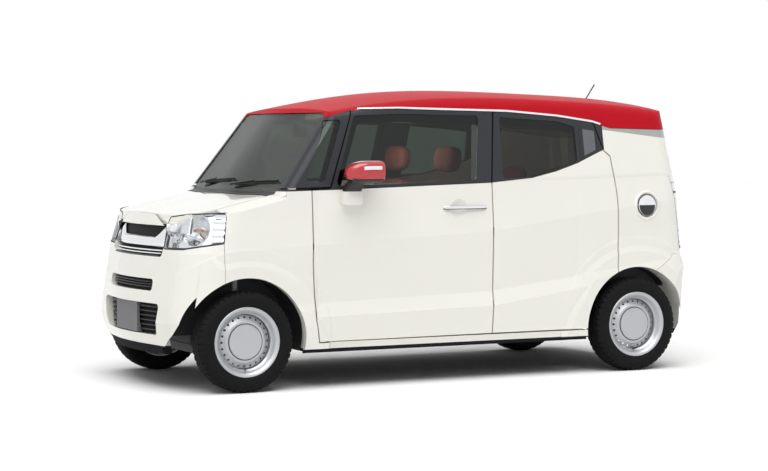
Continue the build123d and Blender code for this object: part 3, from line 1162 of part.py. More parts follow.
SEAT_Y = 325.0
SEAT_HALF = 240.0
SEAT_ROUND = 45.0
SEAT_CUSHION = ((-70.0, 420.0), (330.0, 490.0))
SEAT_BACK = ((-70.0, 470.0), (60.0, 470.0), (-120.0, 1060.0), (-220.0, 1060.0))
HEADREST = ((-258.0, -160.0), (1085.0, 1255.0))
HEADREST_HALF = 130.0
with BuildPart() as front_seats:
    for sign in (1, -1):
        y = (sign * SEAT_Y - SEAT_HALF, sign * SEAT_Y + SEAT_HALF)
        add(block((-40.0, 380.0), (sign * SEAT_Y - 200.0, sign * SEAT_Y + 200.0), (FLOOR[1], SEAT_CUSHION[1][0])))
        with BuildPart(mode=Mode.ADD) as cushion:
            add(block(SEAT_CUSHION[0], y, SEAT_CUSHION[1]))
            fillet(cushion.edges().filter_by(Axis.Z), SEAT_ROUND)
        add(prism_y(SEAT_BACK, *y))
        add(block(*((HEADREST[0]), (sign * SEAT_Y - HEADREST_HALF, sign * SEAT_Y + HEADREST_HALF), HEADREST[1])))
        for offset_y in (-60.0, 60.0):
            add(rod_z(-190.0, sign * SEAT_Y + offset_y, 7.0, 1050.0, 1100.0))
front_seats.part.label = "front_seats"
export_step(front_seats.part, "parts/front_seats.step")

REAR_SEAT_HALF = 515.0
REAR_CUSHION = ((-960.0, -520.0), (REAR_FLOOR[1], 560.0))
REAR_BACK = ((-960.0, 545.0), (-850.0, 545.0), (-960.0, 1050.0), (-1050.0, 1050.0))
REAR_HEADREST = ((-1075.0, -985.0), (1075.0, 1225.0))
with BuildPart() as rear_seats:
    add(block(REAR_CUSHION[0], (-REAR_SEAT_HALF, REAR_SEAT_HALF), REAR_CUSHION[1]))
    add(prism_y(REAR_BACK, -REAR_SEAT_HALF, REAR_SEAT_HALF))
    for y in (-270.0, 270.0):
        add(block(REAR_HEADREST[0], (y - HEADREST_HALF, y + HEADREST_HALF), REAR_HEADREST[1]))
        for offset_y in (-60.0, 60.0):
            add(rod_z(-1015.0, y + offset_y, 7.0, 1040.0, 1090.0))
rear_seats.part.label = "rear_seats"
export_step(rear_seats.part, "parts/rear_seats.step")

# Roof antenna
ANTENNA = ((-1340.0, 0.0, 1590.0), (-1432.0, 0.0, 1722.0))
ANTENNA_RADIUS = 4.0
with BuildPart() as antenna:
    add(bar(ANTENNA[0], ANTENNA[1], ANTENNA_RADIUS))
    add(SKIN[0.0], mode=Mode.SUBTRACT)
antenna.part.label = "antenna"
export_step(antenna.part, "parts/antenna.step")
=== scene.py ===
"""Looks of the kei car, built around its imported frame.

Every piece is a numpy surface on a grid, placed in the row frame (metres, +X
forward, +Y to the car's left, +Z up) and carried by one of the frame's bodies.
"""
from __future__ import annotations

import json
import logging
import math
from dataclasses import dataclass
from enum import Enum
from typing import Callable, Sequence, TypeAlias

import bmesh
import bpy
import numpy as np
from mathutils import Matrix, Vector
from mathutils.bvhtree import BVHTree

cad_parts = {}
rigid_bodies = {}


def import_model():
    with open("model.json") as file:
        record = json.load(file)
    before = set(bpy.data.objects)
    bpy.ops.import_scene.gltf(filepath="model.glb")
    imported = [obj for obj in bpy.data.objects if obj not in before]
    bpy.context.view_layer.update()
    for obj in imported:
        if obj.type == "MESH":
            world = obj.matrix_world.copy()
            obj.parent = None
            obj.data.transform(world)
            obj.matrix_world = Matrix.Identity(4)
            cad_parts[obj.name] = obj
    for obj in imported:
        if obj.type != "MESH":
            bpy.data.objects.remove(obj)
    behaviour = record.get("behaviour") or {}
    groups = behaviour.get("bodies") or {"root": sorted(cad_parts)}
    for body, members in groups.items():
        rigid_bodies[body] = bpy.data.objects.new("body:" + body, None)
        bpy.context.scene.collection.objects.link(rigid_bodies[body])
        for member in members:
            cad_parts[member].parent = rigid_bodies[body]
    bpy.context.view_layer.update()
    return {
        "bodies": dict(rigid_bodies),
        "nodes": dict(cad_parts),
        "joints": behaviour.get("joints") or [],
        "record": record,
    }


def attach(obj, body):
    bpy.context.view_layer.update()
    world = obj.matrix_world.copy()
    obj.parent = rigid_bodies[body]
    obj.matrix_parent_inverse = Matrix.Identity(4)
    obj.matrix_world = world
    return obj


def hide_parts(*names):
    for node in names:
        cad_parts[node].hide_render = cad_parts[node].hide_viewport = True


LOG = logging.getLogger("kei_car")
Colour = tuple[float, float, float]
Array = np.ndarray
Value: TypeAlias = "Wire | float | Sequence[float]"
WELD = 2e-6
SLIVER = 1e-6
PIECE_SHARP_DEG = 32.0
FRAME_SHARP_DEG = 24.0
AHEAD = (1.0, 0.0, 0.0)
UP = (0.0, 0.0, 1.0)


class Side(Enum):
    """Side of the car; the value is the sign of Y."""

    LEFT = 1
    RIGHT = -1

    @property
    def word(self) -> str:
        """Name of the side as the frame's nodes spell it."""
        return self.name.lower()


# Surfaces


@dataclass
class Patch:
    """Points and quads of one surface."""

    points: Array
    faces: Array

    @staticmethod
    def grid(points: Array, wrap_u: bool = False, wrap_v: bool = False) -> "Patch":
        """Surface over a grid of points.

        Args:
            points: array of rows, columns and coordinates.
            wrap_u: whether the last row joins the first.
            wrap_v: whether the last column joins the first.

        Returns:
            The surface.
        """
        rows, cols = points.shape[:2]
        u, v = np.meshgrid(
            np.arange(rows if wrap_u else rows - 1), np.arange(cols if wrap_v else cols - 1), indexing="ij"
        )
        u2, v2 = (u + 1) % rows, (v + 1) % cols
        faces = np.stack([u * cols + v, u2 * cols + v, u2 * cols + v2, u * cols + v2], -1)
        return Patch(points.reshape(-1, 3), faces.reshape(-1, 4))

    @staticmethod
    def merge(patches: Sequence["Patch"]) -> "Patch":
        """One patch from several."""
        starts = np.cumsum([0] + [len(p.points) for p in patches[:-1]])
        faces = [p.faces + start for p, start in zip(patches, starts)]
        return Patch(np.concatenate([p.points for p in patches]), np.concatenate(faces))

    def mirrored(self) -> "Patch":
        """The same surface on the car's other side."""
        return Patch(self.points * (1.0, -1.0, 1.0), self.faces[:, ::-1])

    def moved(self, offset: Sequence[float]) -> "Patch":
        """The surface shifted by an offset."""
        return Patch(self.points + np.asarray(offset), self.faces)


def arc(count: int, start: float = 0.0, end: float = 360.0, closed: bool = True) -> Array:
    """Angles in radians from start to end, the end left out where the arc is closed."""
    return np.radians(np.linspace(start, end, count, endpoint=not closed))


def revolved(
    section: Sequence[tuple[float, float]], centre: Sequence[float], outward: int, steps: int = 96
) -> Patch:
    """Closed section of radius and offset turned about an axle along Y.

    A point is centre + (r sin t, outward * h, r cos t) for every angle t.

    Args:
        section: radius and outward offset of each corner, in order round the section.
        centre: centre of the axle.
        outward: sign of Y that points away from the car.
        steps: number of angles.

    Returns:
        The turned ring.
    """
    r, h = np.asarray(section, float).T
    t = arc(steps)[:, None]
    flat = np.broadcast_to(outward * h, (steps, len(h)))
    grid = np.stack([r * np.sin(t), flat, r * np.cos(t)], -1) + np.asarray(centre)
    return Patch.grid(grid, True, True)


def frames(path: Array, up: Sequence[float] | Array) -> tuple[Array, Array]:
    """Side and up vectors along a path, square to its run.

    Args:
        path: points in order.
        up: rough up vector, one for all or one for each point.

    Returns:
        Side and up vectors.
    """
    run = np.gradient(path, axis=0)
    run /= np.linalg.norm(run, axis=1, keepdims=True)
    side = np.cross(run, np.broadcast_to(np.asarray(up, float), path.shape))
    side /= np.linalg.norm(side, axis=1, keepdims=True)
    return side, np.cross(side, run)


def swept(path: Array, section: Array, up: Sequence[float] | Array, scale: Array | float = 1.0) -> Patch:
    """Closed section carried along a path, with both ends closed.

    A point is path + a * side + b * up for each corner (a, b) of the section.

    Args:
        path: points in order.
        section: corners as side and up offsets.
        up: rough up vector.
        scale: factor on the section along the path.

    Returns:
        The closed bar.
    """
    side, top = frames(path, up)
    size = np.broadcast_to(np.asarray(scale, float), (len(path),))[:, None, None]
    a, b = section[:, 0][None, :, None], section[:, 1][None, :, None]
    rings = path[:, None] + size * (a * side[:, None] + b * top[:, None])
    ends = [np.broadcast_to(r.mean(0), r.shape)[None] for r in (rings[0], rings[-1])]
    return Patch.grid(np.concatenate([ends[0], rings, ends[1]]), False, True)


def round_section(radius: float, sides: int = 12) -> Array:
    """Corners of a round bar's section."""
    t = arc(sides)
    return radius * np.stack([np.cos(t), np.sin(t)], -1)


def soft_section(width: float, height: float, power: float = 4.0, sides: int = 20) -> Array:
    """Corners of a rounded box section, |a/w|^p + |b/h|^p = 1."""
    t = arc(sides)
    c, s = np.cos(t), np.sin(t)
    bend = 2.0 / power
    return np.stack(
        [0.5 * width * np.sign(c) * np.abs(c) ** bend, 0.5 * height * np.sign(s) * np.abs(s) ** bend], -1
    )


def slab(points: Array, thickness: float) -> Patch:
    """Thin closed shell below a grid of points.

    The underside is each point less the thickness along the grid's normal, du x dv.

    Args:
        points: grid of the upper side.
        thickness: depth of the shell.

    Returns:
        The closed shell.
    """
    normal = np.cross(np.gradient(points, axis=0), np.gradient(points, axis=1))
    normal /= np.maximum(np.linalg.norm(normal, axis=2, keepdims=True), 1e-12)
    under = points - thickness * normal
    rims = [
        Patch.grid(np.stack([points[0], under[0]])),
        Patch.grid(np.stack([points[-1], under[-1]])),
        Patch.grid(np.stack([points[:, 0], under[:, 0]])),
        Patch.grid(np.stack([points[:, -1], under[:, -1]])),
    ]
    return Patch.merge([Patch.grid(points), Patch.grid(under), *rims])


def along(points: Sequence[Sequence[float]], count: int) -> Array:
    """Points spread evenly along a polyline."""
    corners = np.asarray(points, float)
    reach = np.concatenate([[0.0], np.cumsum(np.linalg.norm(np.diff(corners, axis=0), axis=1))])
    at = np.linspace(0.0, reach[-1], count)
    return np.stack([np.interp(at, reach, corners[:, k]) for k in range(corners.shape[1])], -1)


def height_at(line: Sequence[tuple[float, float]], x: Array) -> Array:
    """Height of a polyline at each x."""
    return np.interp(x, *np.transpose(line))


# Meshes


def meshed(name: str, patch: Patch, weld: float, sliver: float = 0.0) -> bpy.types.Mesh:
    """Mesh of a surface with its doubled points welded and its normals outward.

    Args:
        name: name of the mesh.
        patch: the surface.
        weld: points nearer than this become one.
        sliver: edges shorter than this are taken out, none where it is 0.

    Returns:
        The mesh.
    """
    mesh = bpy.data.meshes.new(name)
    mesh.from_pydata(patch.points.tolist(), [], patch.faces.tolist())
    shape = bmesh.new()
    shape.from_mesh(mesh)
    bmesh.ops.remove_doubles(shape, verts=shape.verts, dist=weld)
    if sliver:
        bmesh.ops.dissolve_degenerate(shape, edges=shape.edges, dist=sliver)
    bmesh.ops.recalc_face_normals(shape, faces=shape.faces)
    shape.to_mesh(mesh)
    shape.free()
    return mesh


def smoothed(mesh: bpy.types.Mesh, sharp_deg: float) -> None:
    """Shades a mesh smooth apart from its sharp edges.

    Args:
        mesh: the mesh.
        sharp_deg: edges sharper than this stay crisp.
    """
    mesh.polygons.foreach_set("use_smooth", np.ones(len(mesh.polygons), bool))
    mesh.set_sharp_from_angle(angle=math.radians(sharp_deg))


def mesh_points(mesh: bpy.types.Mesh) -> Array:
    """Points of a mesh, one row each."""
    flat = np.empty(3 * len(mesh.vertices))
    mesh.vertices.foreach_get("co", flat)
    return flat.reshape(-1, 3)


def linked(name: str, data: bpy.types.ID) -> bpy.types.Object:
    """New object in the scene that shows a mesh, light or camera."""
    obj = bpy.data.objects.new(name, data)
    bpy.context.scene.collection.objects.link(obj)
    return obj


class Workshop:
    """Puts surfaces into meshes on the frame's bodies."""

    def __init__(self, looks: Looks) -> None:
        self.looks = looks

    def piece(
        self,
        name: str,
        patches: Sequence[Patch],
        paint: Paint,
        body: str = "chassis",
        stands_for: Sequence[str] = (),
        sharp_deg: float = PIECE_SHARP_DEG,
    ) -> bpy.types.Object:
        """Makes one piece.

        Args:
            name: name of the piece.
            patches: closed surfaces that make it up.
            paint: its finish.
            body: body that carries it.
            stands_for: nodes that it replaces.
            sharp_deg: edges sharper than this stay crisp.

        Returns:
            The new object.
        """
        mesh = meshed(name, Patch.merge(list(patches)), WELD, SLIVER)
        smoothed(mesh, sharp_deg)
        mesh.materials.append(self.looks.of(paint))
        obj = linked(name, mesh)
        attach(obj, body)
        if stands_for:
            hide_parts(*stands_for)
        LOG.info("%s: %d faces on %s", name, len(mesh.polygons), body)
        return obj


@dataclass
class SkinProbe:
    """Finds points on the outside of the frame's nodes."""

    nodes: dict[str, bpy.types.Object]
    names: Sequence[str]
    jump: float = 0.12
    first_reach: float = 2.3
    side_start: float = 3.0
    end_start: float = 4.0

    def __post_init__(self) -> None:
        """Gathers the nodes' faces into one search tree."""
        points: list[list[float]] = []
        faces: list[tuple[int, ...]] = []
        for name in self.names:
            mesh = self.nodes[name].data
            start = len(points)
            points.extend(mesh_points(mesh).tolist())
            faces.extend(tuple(start + i for i in p.vertices) for p in mesh.polygons)
        self.tree = BVHTree.FromPolygons(points, faces)

    def side(self, places: Array, side: Side, lift: float = 0.0) -> tuple[Array, Array]:
        """Points on the car's flank.

        Args:
            places: X and Z of each point.
            side: side that is looked at.
            lift: distance off the surface along its normal.

        Returns:
            Points and normals; past an edge or a gap the nearest point is taken.
        """
        x, z = np.moveaxis(np.asarray(places, float), -1, 0)
        starts = np.stack([x, np.full_like(x, self.side_start * side.value), z], -1)
        return self._cast(starts, (0.0, -side.value, 0.0), lift)

    def ahead(self, places: Array, sign: int, lift: float = 0.0) -> tuple[Array, Array]:
        """Points on the nose or the tail.

        Args:
            places: Y and Z of each point.
            sign: 1 for the nose and -1 for the tail.
            lift: distance off the surface along its normal.

        Returns:
            Points and normals.
        """
        y, z = np.moveaxis(np.asarray(places, float), -1, 0)
        starts = np.stack([np.full_like(y, self.end_start * sign), y, z], -1)
        return self._cast(starts, (-sign, 0.0, 0.0), lift)

    def along_ray(self, starts: Array, run: Array) -> Array:
        """Points where rays from the starts, all with one run, meet the surface."""
        last = None
        points = []
        for start in starts:
            hit = self.tree.ray_cast(Vector(start), Vector(run))[0]
            reach = (hit - Vector(start)).length if hit is not None else last
            if reach is None:
                raise ValueError(f"no surface from {start}")
            last = reach
            points.append(start + reach * run)
        return np.asarray(points)

    def _cast(self, starts: Array, run: Sequence[float], lift: float) -> tuple[Array, Array]:
        points, normals = [], []
        last: float | None = None
        way = Vector(run)
        for start in starts.reshape(-1, 3):
            origin = Vector(start)
            hit, normal, _, reach = self.tree.ray_cast(origin, way)
            if hit is None or (last is not None and abs(reach - last) > self.jump):
                near = origin + way * (self.first_reach if last is None else last)
                hit, normal, _, _ = self.tree.find_nearest(near)
            else:
                last = reach
            if normal.dot(way) > 0.0:
                normal = -normal
            points.append(hit + normal * lift)
            normals.append(normal)
        return np.asarray(points).reshape(starts.shape), np.asarray(normals).reshape(starts.shape)


# Shader graphs


class Wire:
    """One value in a shader graph, with the usual operators."""

    def __init__(self, graph: "Graph", socket: bpy.types.NodeSocket) -> None:
        self.graph = graph
        self.socket = socket

    def _op(self, kind: str, *others: "Wire | float") -> "Wire":
        return self.graph.maths(kind, self, *others)

    def __add__(self, other: "Wire | float") -> "Wire":
        return self._op("ADD", other)

    def __sub__(self, other: "Wire | float") -> "Wire":
        return self._op("SUBTRACT", other)

    def __rsub__(self, other: float) -> "Wire":
        return self.graph.maths("SUBTRACT", other, self)

    def __mul__(self, other: "Wire | float") -> "Wire":
        return self._op("MULTIPLY", other)

    def __truediv__(self, other: "Wire | float") -> "Wire":
        return self._op("DIVIDE", other)

    def __gt__(self, other: "Wire | float") -> "Wire":
        return self._op("GREATER_THAN", other)

    def __lt__(self, other: "Wire | float") -> "Wire":
        return self._op("LESS_THAN", other)

    def least(self, other: "Wire | float") -> "Wire":
        """Smaller of two values."""
        return self._op("MINIMUM", other)

    def most(self, other: "Wire | float") -> "Wire":
        """Larger of two values."""
        return self._op("MAXIMUM", other)

    def size(self) -> "Wire":
        """Absolute value."""
        return self._op("ABSOLUTE")

    def root(self) -> "Wire":
        """Square root."""
        return self._op("SQRT")

    def held(self) -> "Wire":
        """Value held in 0..1."""
        return self.most(0.0).least(1.0)

    def ramp(self, low: float, high: float) -> "Wire":
        """Value brought from a range to 0..1 and held there.

        Args:
            low: value that gives 0.
            high: value that gives 1.

        Returns:
            The clamped value.
        """
        node = self.graph.node(
            "ShaderNodeMapRange",
            {"clamp": True, "interpolation_type": "SMOOTHSTEP"},
            {"Value": self, "From Min": low, "From Max": high},
        )
        return Wire(self.graph, node.outputs["Result"])


class Graph:
    """Node tree of one material or of the surround."""

    def __init__(
        self, owner: bpy.types.Material | bpy.types.World, end: str = "ShaderNodeOutputMaterial"
    ) -> None:
        owner.use_nodes = True
        self.owner = owner
        self.tree = owner.node_tree
        self.tree.nodes.clear()
        self.output = self.node(end)
        self._axes: tuple[Wire, ...] = ()
        self._place: Wire | None = None

    def node(
        self,
        kind: str,
        settings: dict[str, str | bool] | None = None,
        sockets: dict[str | int, Value] | None = None,
    ) -> bpy.types.Node:
        """Adds one node.

        Args:
            kind: type of the node.
            settings: its properties by name.
            sockets: values or wires of its inputs, by name or number.

        Returns:
            The node.
        """
        node = self.tree.nodes.new(kind)
        for name, setting in (settings or {}).items():
            setattr(node, name, setting)
        for key, value in (sockets or {}).items():
            self.feed(node.inputs[key], value)
        return node

    def feed(self, socket: bpy.types.NodeSocket, value: Value) -> None:
        """Sets a socket from a wire or a constant."""
        if isinstance(value, Wire):
            self.tree.links.new(value.socket, socket)
        elif isinstance(value, (int, float)):
            socket.default_value = float(value)
        else:
            wanted = len(socket.default_value)
            socket.default_value = (*value, 1.0)[:wanted]

    def shader(self, kind: str, sockets: dict[str | int, Value]) -> Wire:
        """Shader node's output as a wire."""
        return Wire(self, self.node(kind, {}, sockets).outputs[0])

    def close(self, surface: Wire) -> None:
        """Ends the graph with a shader."""
        self.feed(self.output.inputs["Surface"], surface)

    def maths(self, kind: str, *values: "Wire | float") -> Wire:
        """Result of one maths node."""
        node = self.node("ShaderNodeMath", {"operation": kind}, dict(enumerate(values)))
        return Wire(self, node.outputs[0])

    def place(self) -> Wire:
        """Object coordinates, which are the row frame's metres."""
        if self._place is None:
            self._place = Wire(self, self.node("ShaderNodeTexCoord").outputs["Object"])
        return self._place

    def axes(self) -> tuple[Wire, ...]:
        """X, Y and Z in the row frame."""
        if not self._axes:
            split = self.node("ShaderNodeSeparateXYZ", {}, {0: self.place()})
            self._axes = tuple(Wire(self, out) for out in split.outputs)
        return self._axes

    def noise(self, scale: float, detail: float = 3.0) -> Wire:
        """Noise in 0..1 over the row frame."""
        node = self.node("ShaderNodeTexNoise", {}, {"Vector": self.place(), "Scale": scale, "Detail": detail})
        return Wire(self, node.outputs["Fac"])

    def blend(self, first: "Wire | Colour", second: "Wire | Colour", factor: "Wire | float") -> Wire:
        """Mix of two colours."""
        node = self.node("ShaderNodeMix", {"data_type": "RGBA"}, {0: factor, 6: first, 7: second})
        return Wire(self, node.outputs[2])

    def bump(self, height: Wire, distance: float, strength: float = 1.0) -> Wire:
        """Normal from a height."""
        node = self.node("ShaderNodeBump", {}, {"Strength": strength, "Distance": distance, "Height": height})
        return Wire(self, node.outputs["Normal"])

    def line(self, points: Sequence[tuple[float, float]], along: Wire) -> Wire:
        """Height of a polyline over a wire.

        Args:
            points: corners in rising order of their first value.
            along: value that runs along the polyline.

        Returns:
            The polyline's second value there.
        """
        height: Wire | float = points[0][1]
        for (x0, z0), (x1, z1) in zip(points, points[1:]):
            step = ((along - x0) / (x1 - x0)).held()
            height = step * (z1 - z0) + height
        return height


# Finishes

PRINCIPLED = "ShaderNodeBsdfPrincipled"
COAT_ROUGHNESS = 0.03
GRAIN_SCALE = 60.0
FLECK_SCALE = 900.0
WHITE: Colour = (0.80, 0.79, 0.73)
RED: Colour = (0.47, 0.004, 0.013)
PILLAR: Colour = (0.035, 0.037, 0.043)
BAND: Colour = (0.36, 0.37, 0.36)
UNDERSIDE: Colour = (0.012, 0.012, 0.013)
LAMP_RED: Colour = (0.42, 0.015, 0.02)
LAMP_PALE: Colour = (0.80, 0.81, 0.83)

# Lines of the body as X and Z, and each wheel's flare as X of its axle and radius
ROOF_EDGE = (
    (-1.90, 1.400), (-1.514, 1.438), (-1.125, 1.447), (-1.004, 1.481), (-0.766, 1.514), (-0.429, 1.540),
    (0.268, 1.553), (0.560, 1.546), (0.900, 1.456),
)
WINDOW_EDGE = (
    (-1.070, 1.318), (-1.000, 1.290), (-0.879, 1.239), (-0.728, 1.192), (-0.560, 1.155), (-0.281, 1.130),
    (0.587, 1.103), (1.100, 1.092),
)
BAND_EDGE = ((-1.70, 1.372), (-1.453, 1.392), (-1.070, 1.436))
LOWER_EDGE = ((-1.70, 0.232), (-1.00, 0.222), (1.00, 0.222), (1.35, 0.236), (1.70, 0.252))
CREASE = ((-1.1335, 0.969), (-0.2835, 0.852), (0.3125, 0.822), (0.8445, 0.793))
VALLEY = ((-0.8635, 0.580), (-0.7395, 0.559), (-0.2895, 0.509), (0.8195, 0.475))
RIDGE = ((-0.9365, 0.516), (-0.7405, 0.481), (-0.2935, 0.423), (0.8195, 0.398))
FRONT_AXLE_X = 1.2425
REAR_AXLE_X = -1.2775
FLARES = ((FRONT_AXLE_X, 0.505), (REAR_AXLE_X, 0.520))
HUB_Z = 0.278
REAR_PILLAR_X = -1.072

# The dark window surround lies outboard of a Y or ahead of an X
SURROUND_Y = 0.40
SURROUND_X = 0.40

# Steps of the flank's pressed relief, and the Y that it starts from
DOOR_RISE = 0.007
LEDGE_FALL = 0.009
SHOULDER_FALL = 0.004
SHOULDER_WIDTH = 0.150
FLARE_FALL = 0.0035
FLANK_Y = 0.55


@dataclass(frozen=True)
class Finish:
    """Constants of a plain finish, and the record's slot that it belongs to."""

    name: str
    slot: str
    colour: Colour
    roughness: float = 0.5
    metallic: float = 0.0
    coat: float = 0.0
    specular: float = 0.5
    grain: float = 0.0
    relief: float = 0.0
    relief_scale: float = 300.0

    def make(self) -> bpy.types.Material:
        """Builds the material.

        Returns:
            A material with a little procedural variation.
        """
        graph = Graph(bpy.data.materials.new(self.name))
        sockets: dict[str | int, Value] = {
            "Base Color": self.colour,
            "Roughness": self.roughness,
            "Metallic": self.metallic,
            "Coat Weight": self.coat,
            "Coat Roughness": COAT_ROUGHNESS,
            "Specular IOR Level": self.specular,
        }
        if self.grain:
            spread = graph.noise(GRAIN_SCALE)
            dark = tuple(c * (1.0 - self.grain) for c in self.colour)
            sockets["Base Color"] = graph.blend(dark, self.colour, spread)
            sockets["Roughness"] = spread * (self.grain * 0.4) + self.roughness * (1.0 - self.grain * 0.2)
        if self.relief:
            sockets["Normal"] = graph.bump(graph.noise(self.relief_scale, 2.0), self.relief)
        graph.close(graph.shader(PRINCIPLED, sockets))
        return graph.owner


@dataclass(frozen=True)
class TwoTone:
    """Car paint whose regions follow the car's own lines."""

    name: str
    slot: str
    specular: float = 0.12

    @staticmethod
    def pressings(graph: Graph) -> Wire:
        """Fine relief that sharpens the flank's pressed lines.

        The height falls from the ridge to the valley, rises to the crease and falls
        again above it; round each wheel a low step ends at the flare's radius.

        Args:
            graph: node tree that the relief is made in.

        Returns:
            Height in metres.
        """
        x, y, z = graph.axes()
        crease, valley, ridge = (graph.line(points, x) for points in (CREASE, VALLEY, RIDGE))
        ledge = ((z - ridge) / (valley - ridge)).held()
        door = ((z - valley) / (crease - valley)).held()
        shoulder = ((z - crease) / SHOULDER_WIDTH).held()
        span = ((0.850 - x) / 0.030).held() * ((x + 0.900) / 0.040).held()
        height = (door * DOOR_RISE - ledge * LEDGE_FALL) * span - shoulder * SHOULDER_FALL
        for axle_x, radius in FLARES:
            ahead, rise = x - axle_x, z - HUB_Z
            reach = (ahead * ahead + rise * rise).root()
            height = height - reach.ramp(radius - 0.008, radius + 0.012) * FLARE_FALL
        return height * (y.size() > FLANK_Y)

    def make(self) -> bpy.types.Material:
        """Builds the material.

        Returns:
            Material with red roof, dark window surround, grey band and white body.
        """
        graph = Graph(bpy.data.materials.new(self.name))
        x, y, z = graph.axes()
        roof = z > graph.line(ROOF_EDGE, x)
        outer = (y.size() > SURROUND_Y).most(x > SURROUND_X)
        surround = (z > graph.line(WINDOW_EDGE, x)) * (x > REAR_PILLAR_X) * outer
        dark = surround * (1.0 - roof)
        band = (z > graph.line(BAND_EDGE, x)) * (x < REAR_PILLAR_X) * (1.0 - roof)
        lower = z < graph.line(LOWER_EDGE, x)
        fleck = graph.noise(FLECK_SCALE, 1.0)
        white = graph.blend(tuple(c * 0.985 for c in WHITE), WHITE, fleck)
        red = graph.blend(tuple(c * 0.92 for c in RED), RED, fleck)
        colour = graph.blend(white, red, roof)
        for other, mask in ((PILLAR, dark), (BAND, band), (UNDERSIDE, lower)):
            colour = graph.blend(colour, other, mask)
        graph.close(graph.shader(PRINCIPLED, {
            "Base Color": colour,
            "Roughness": dark * 0.14 + roof * 0.30 + lower * 0.65 + 0.24,
            "Coat Weight": 1.0 - (roof * 0.94).most(lower).most(dark * 0.85),
            "Normal": graph.bump(self.pressings(graph), 1.0),
            "Coat Roughness": COAT_ROUGHNESS,
            "Specular IOR Level": self.specular,
        }))
        return graph.owner


@dataclass(frozen=True)
class Banded:
    """Glossy finish with dark bands at given heights and red inboard of a line; on the fuel lid the dark band
    is a painted reflection.
    """

    name: str
    slot: str
    bands: tuple[tuple[float, float], ...]
    dark: Colour
    inner: float
    metallic: float = 0.45
    gloss: float = 0.10
    dulled: float = 0.30

    def make(self) -> bpy.types.Material:
        """Builds the material.

        Returns:
            Material that is dark between the lowest and highest z of each band.
        """
        graph = Graph(bpy.data.materials.new(self.name))
        _, y, z = graph.axes()
        mark: Wire | float = 0.0
        for low, high in self.bands:
            mark = (z > low) * (z < high) + mark
        inside = y.size() < self.inner
        graph.close(graph.shader(PRINCIPLED, {
            "Base Color": graph.blend(graph.blend(LAMP_PALE, LAMP_RED, inside), self.dark, mark),
            "Metallic": (1.0 - mark.most(inside)) * self.metallic,
            "Roughness": mark * self.dulled + self.gloss,
            "Coat Weight": 1.0 - mark,
        }))
        return graph.owner


@dataclass(frozen=True)
class Glass:
    """Thin glass: tinted clear sheet under a mirror-like coat."""

    name: str
    slot: str
    tint: Colour
    shine: float
    slant_shine: float = 0.8
    blend: float = 0.22
    roughness: float = 0.01

    def make(self) -> bpy.types.Material:
        """Builds the material.

        Returns:
            Material that mirrors by its shine head-on and more at a slant.
        """
        graph = Graph(bpy.data.materials.new(self.name))
        clear = graph.shader("ShaderNodeBsdfTransparent", {"Color": self.tint})
        gloss = graph.shader("ShaderNodeBsdfGlossy", {"Roughness": self.roughness})
        facing = graph.node("ShaderNodeLayerWeight", {}, {"Blend": self.blend})
        share = Wire(graph, facing.outputs["Fresnel"]) * self.slant_shine + self.shine
        graph.close(graph.shader("ShaderNodeMixShader", {0: share, 1: clear, 2: gloss}))
        return graph.owner


class Paint(Enum):
    """Finishes by name."""

    BODY = TwoTone("two_tone_paint", "white_paint")
    GLASS = Glass("tinted_glass", "tinted_glass", (0.42, 0.46, 0.435), 0.02)
    LENS = Glass("clear_lens", "lamp_clear", (0.96, 0.97, 0.98), 0.04)
    # Fuel lid: the dark band from z 0.90 to 0.988 paints the reflection on the lower half of the chrome dome.
    LID = Banded("fuel_lid_finish", "chrome_trim", ((0.90, 0.988),), (0.012, 0.012, 0.014), 0.1)
    TAIL = Banded(
        "tail_lamp_finish", "lamp_clear",
        ((0.724, 0.737), (0.759, 0.763), (0.828, 0.832), (1.057, 1.068), (1.118, 1.122)),
        (0.015, 0.015, 0.016), 0.630,
    )
    CHROME = Finish("chrome", "chrome_trim", (0.78, 0.79, 0.81), 0.06, 1.0)
    SATIN = Finish("satin_silver", "lamp_clear", (0.48, 0.49, 0.51), 0.30, 0.9, grain=0.06)
    DISC = Finish("disc_silver", "wheel_silver", (0.47, 0.48, 0.50), 0.34, 0.55, coat=0.3, grain=0.05)
    BLACK = Finish("black_plastic", "black_plastic", UNDERSIDE, 0.42, grain=0.15, relief=0.0004)
    SEAL = Finish("seal_rubber", "black_plastic", (0.008, 0.008, 0.009), 0.55, grain=0.2)
    TYRE = Finish(
        "tyre_rubber", "tyre_rubber", (0.005, 0.005, 0.0055), 0.72, specular=0.16, grain=0.25, relief=0.0006
    )
    STEEL = Finish("dark_steel", "dark_steel", (0.030, 0.031, 0.034), 0.5, 0.3, grain=0.25)
    CAST = Finish("cast_metal", "dark_steel", (0.20, 0.20, 0.21), 0.45, 0.8, grain=0.2)
    CABIN = Finish("cabin_plastic", "black_plastic", (0.055, 0.052, 0.050), 0.55, grain=0.12, relief=0.0004)
    SEAT = Finish(
        "seat_fabric", "brown_fabric", (0.36, 0.105, 0.075), 0.8,
        grain=0.25, relief=0.0008, relief_scale=900.0,
    )
    PLATE = Finish("plate_panel", "plate_grey", (0.14, 0.14, 0.15), 0.45, specular=0.3, grain=0.05)
    AMBER = Finish("amber_bulb", "lamp_clear", (0.55, 0.20, 0.03), 0.15, coat=1.0)
    LENS_RED = Finish("lens_red", "lamp_clear", LAMP_RED, 0.08, coat=1.0)
    WHITE_TRIM = Finish("white_trim", "white_paint", WHITE, 0.22, coat=1.0)
    RED_TRIM = Finish("red_trim", "red_paint", RED, 0.2, coat=1.0)
    LAMP = Finish("lamp_strip", "lamp_clear", (0.80, 0.81, 0.84), 0.10, 0.35, coat=1.0)
    BRIGHT = Finish("bright_strip", "chrome_trim", (0.86, 0.86, 0.88), 0.16, 0.7)
    SLAT = Finish("grey_slat", "black_plastic", (0.115, 0.118, 0.128), 0.34, grain=0.06)
    # Near-black finish that paints the shade inside the grille's openings.
    DARK = Finish("dark_void", "black_plastic", (0.004, 0.004, 0.004), 0.9)


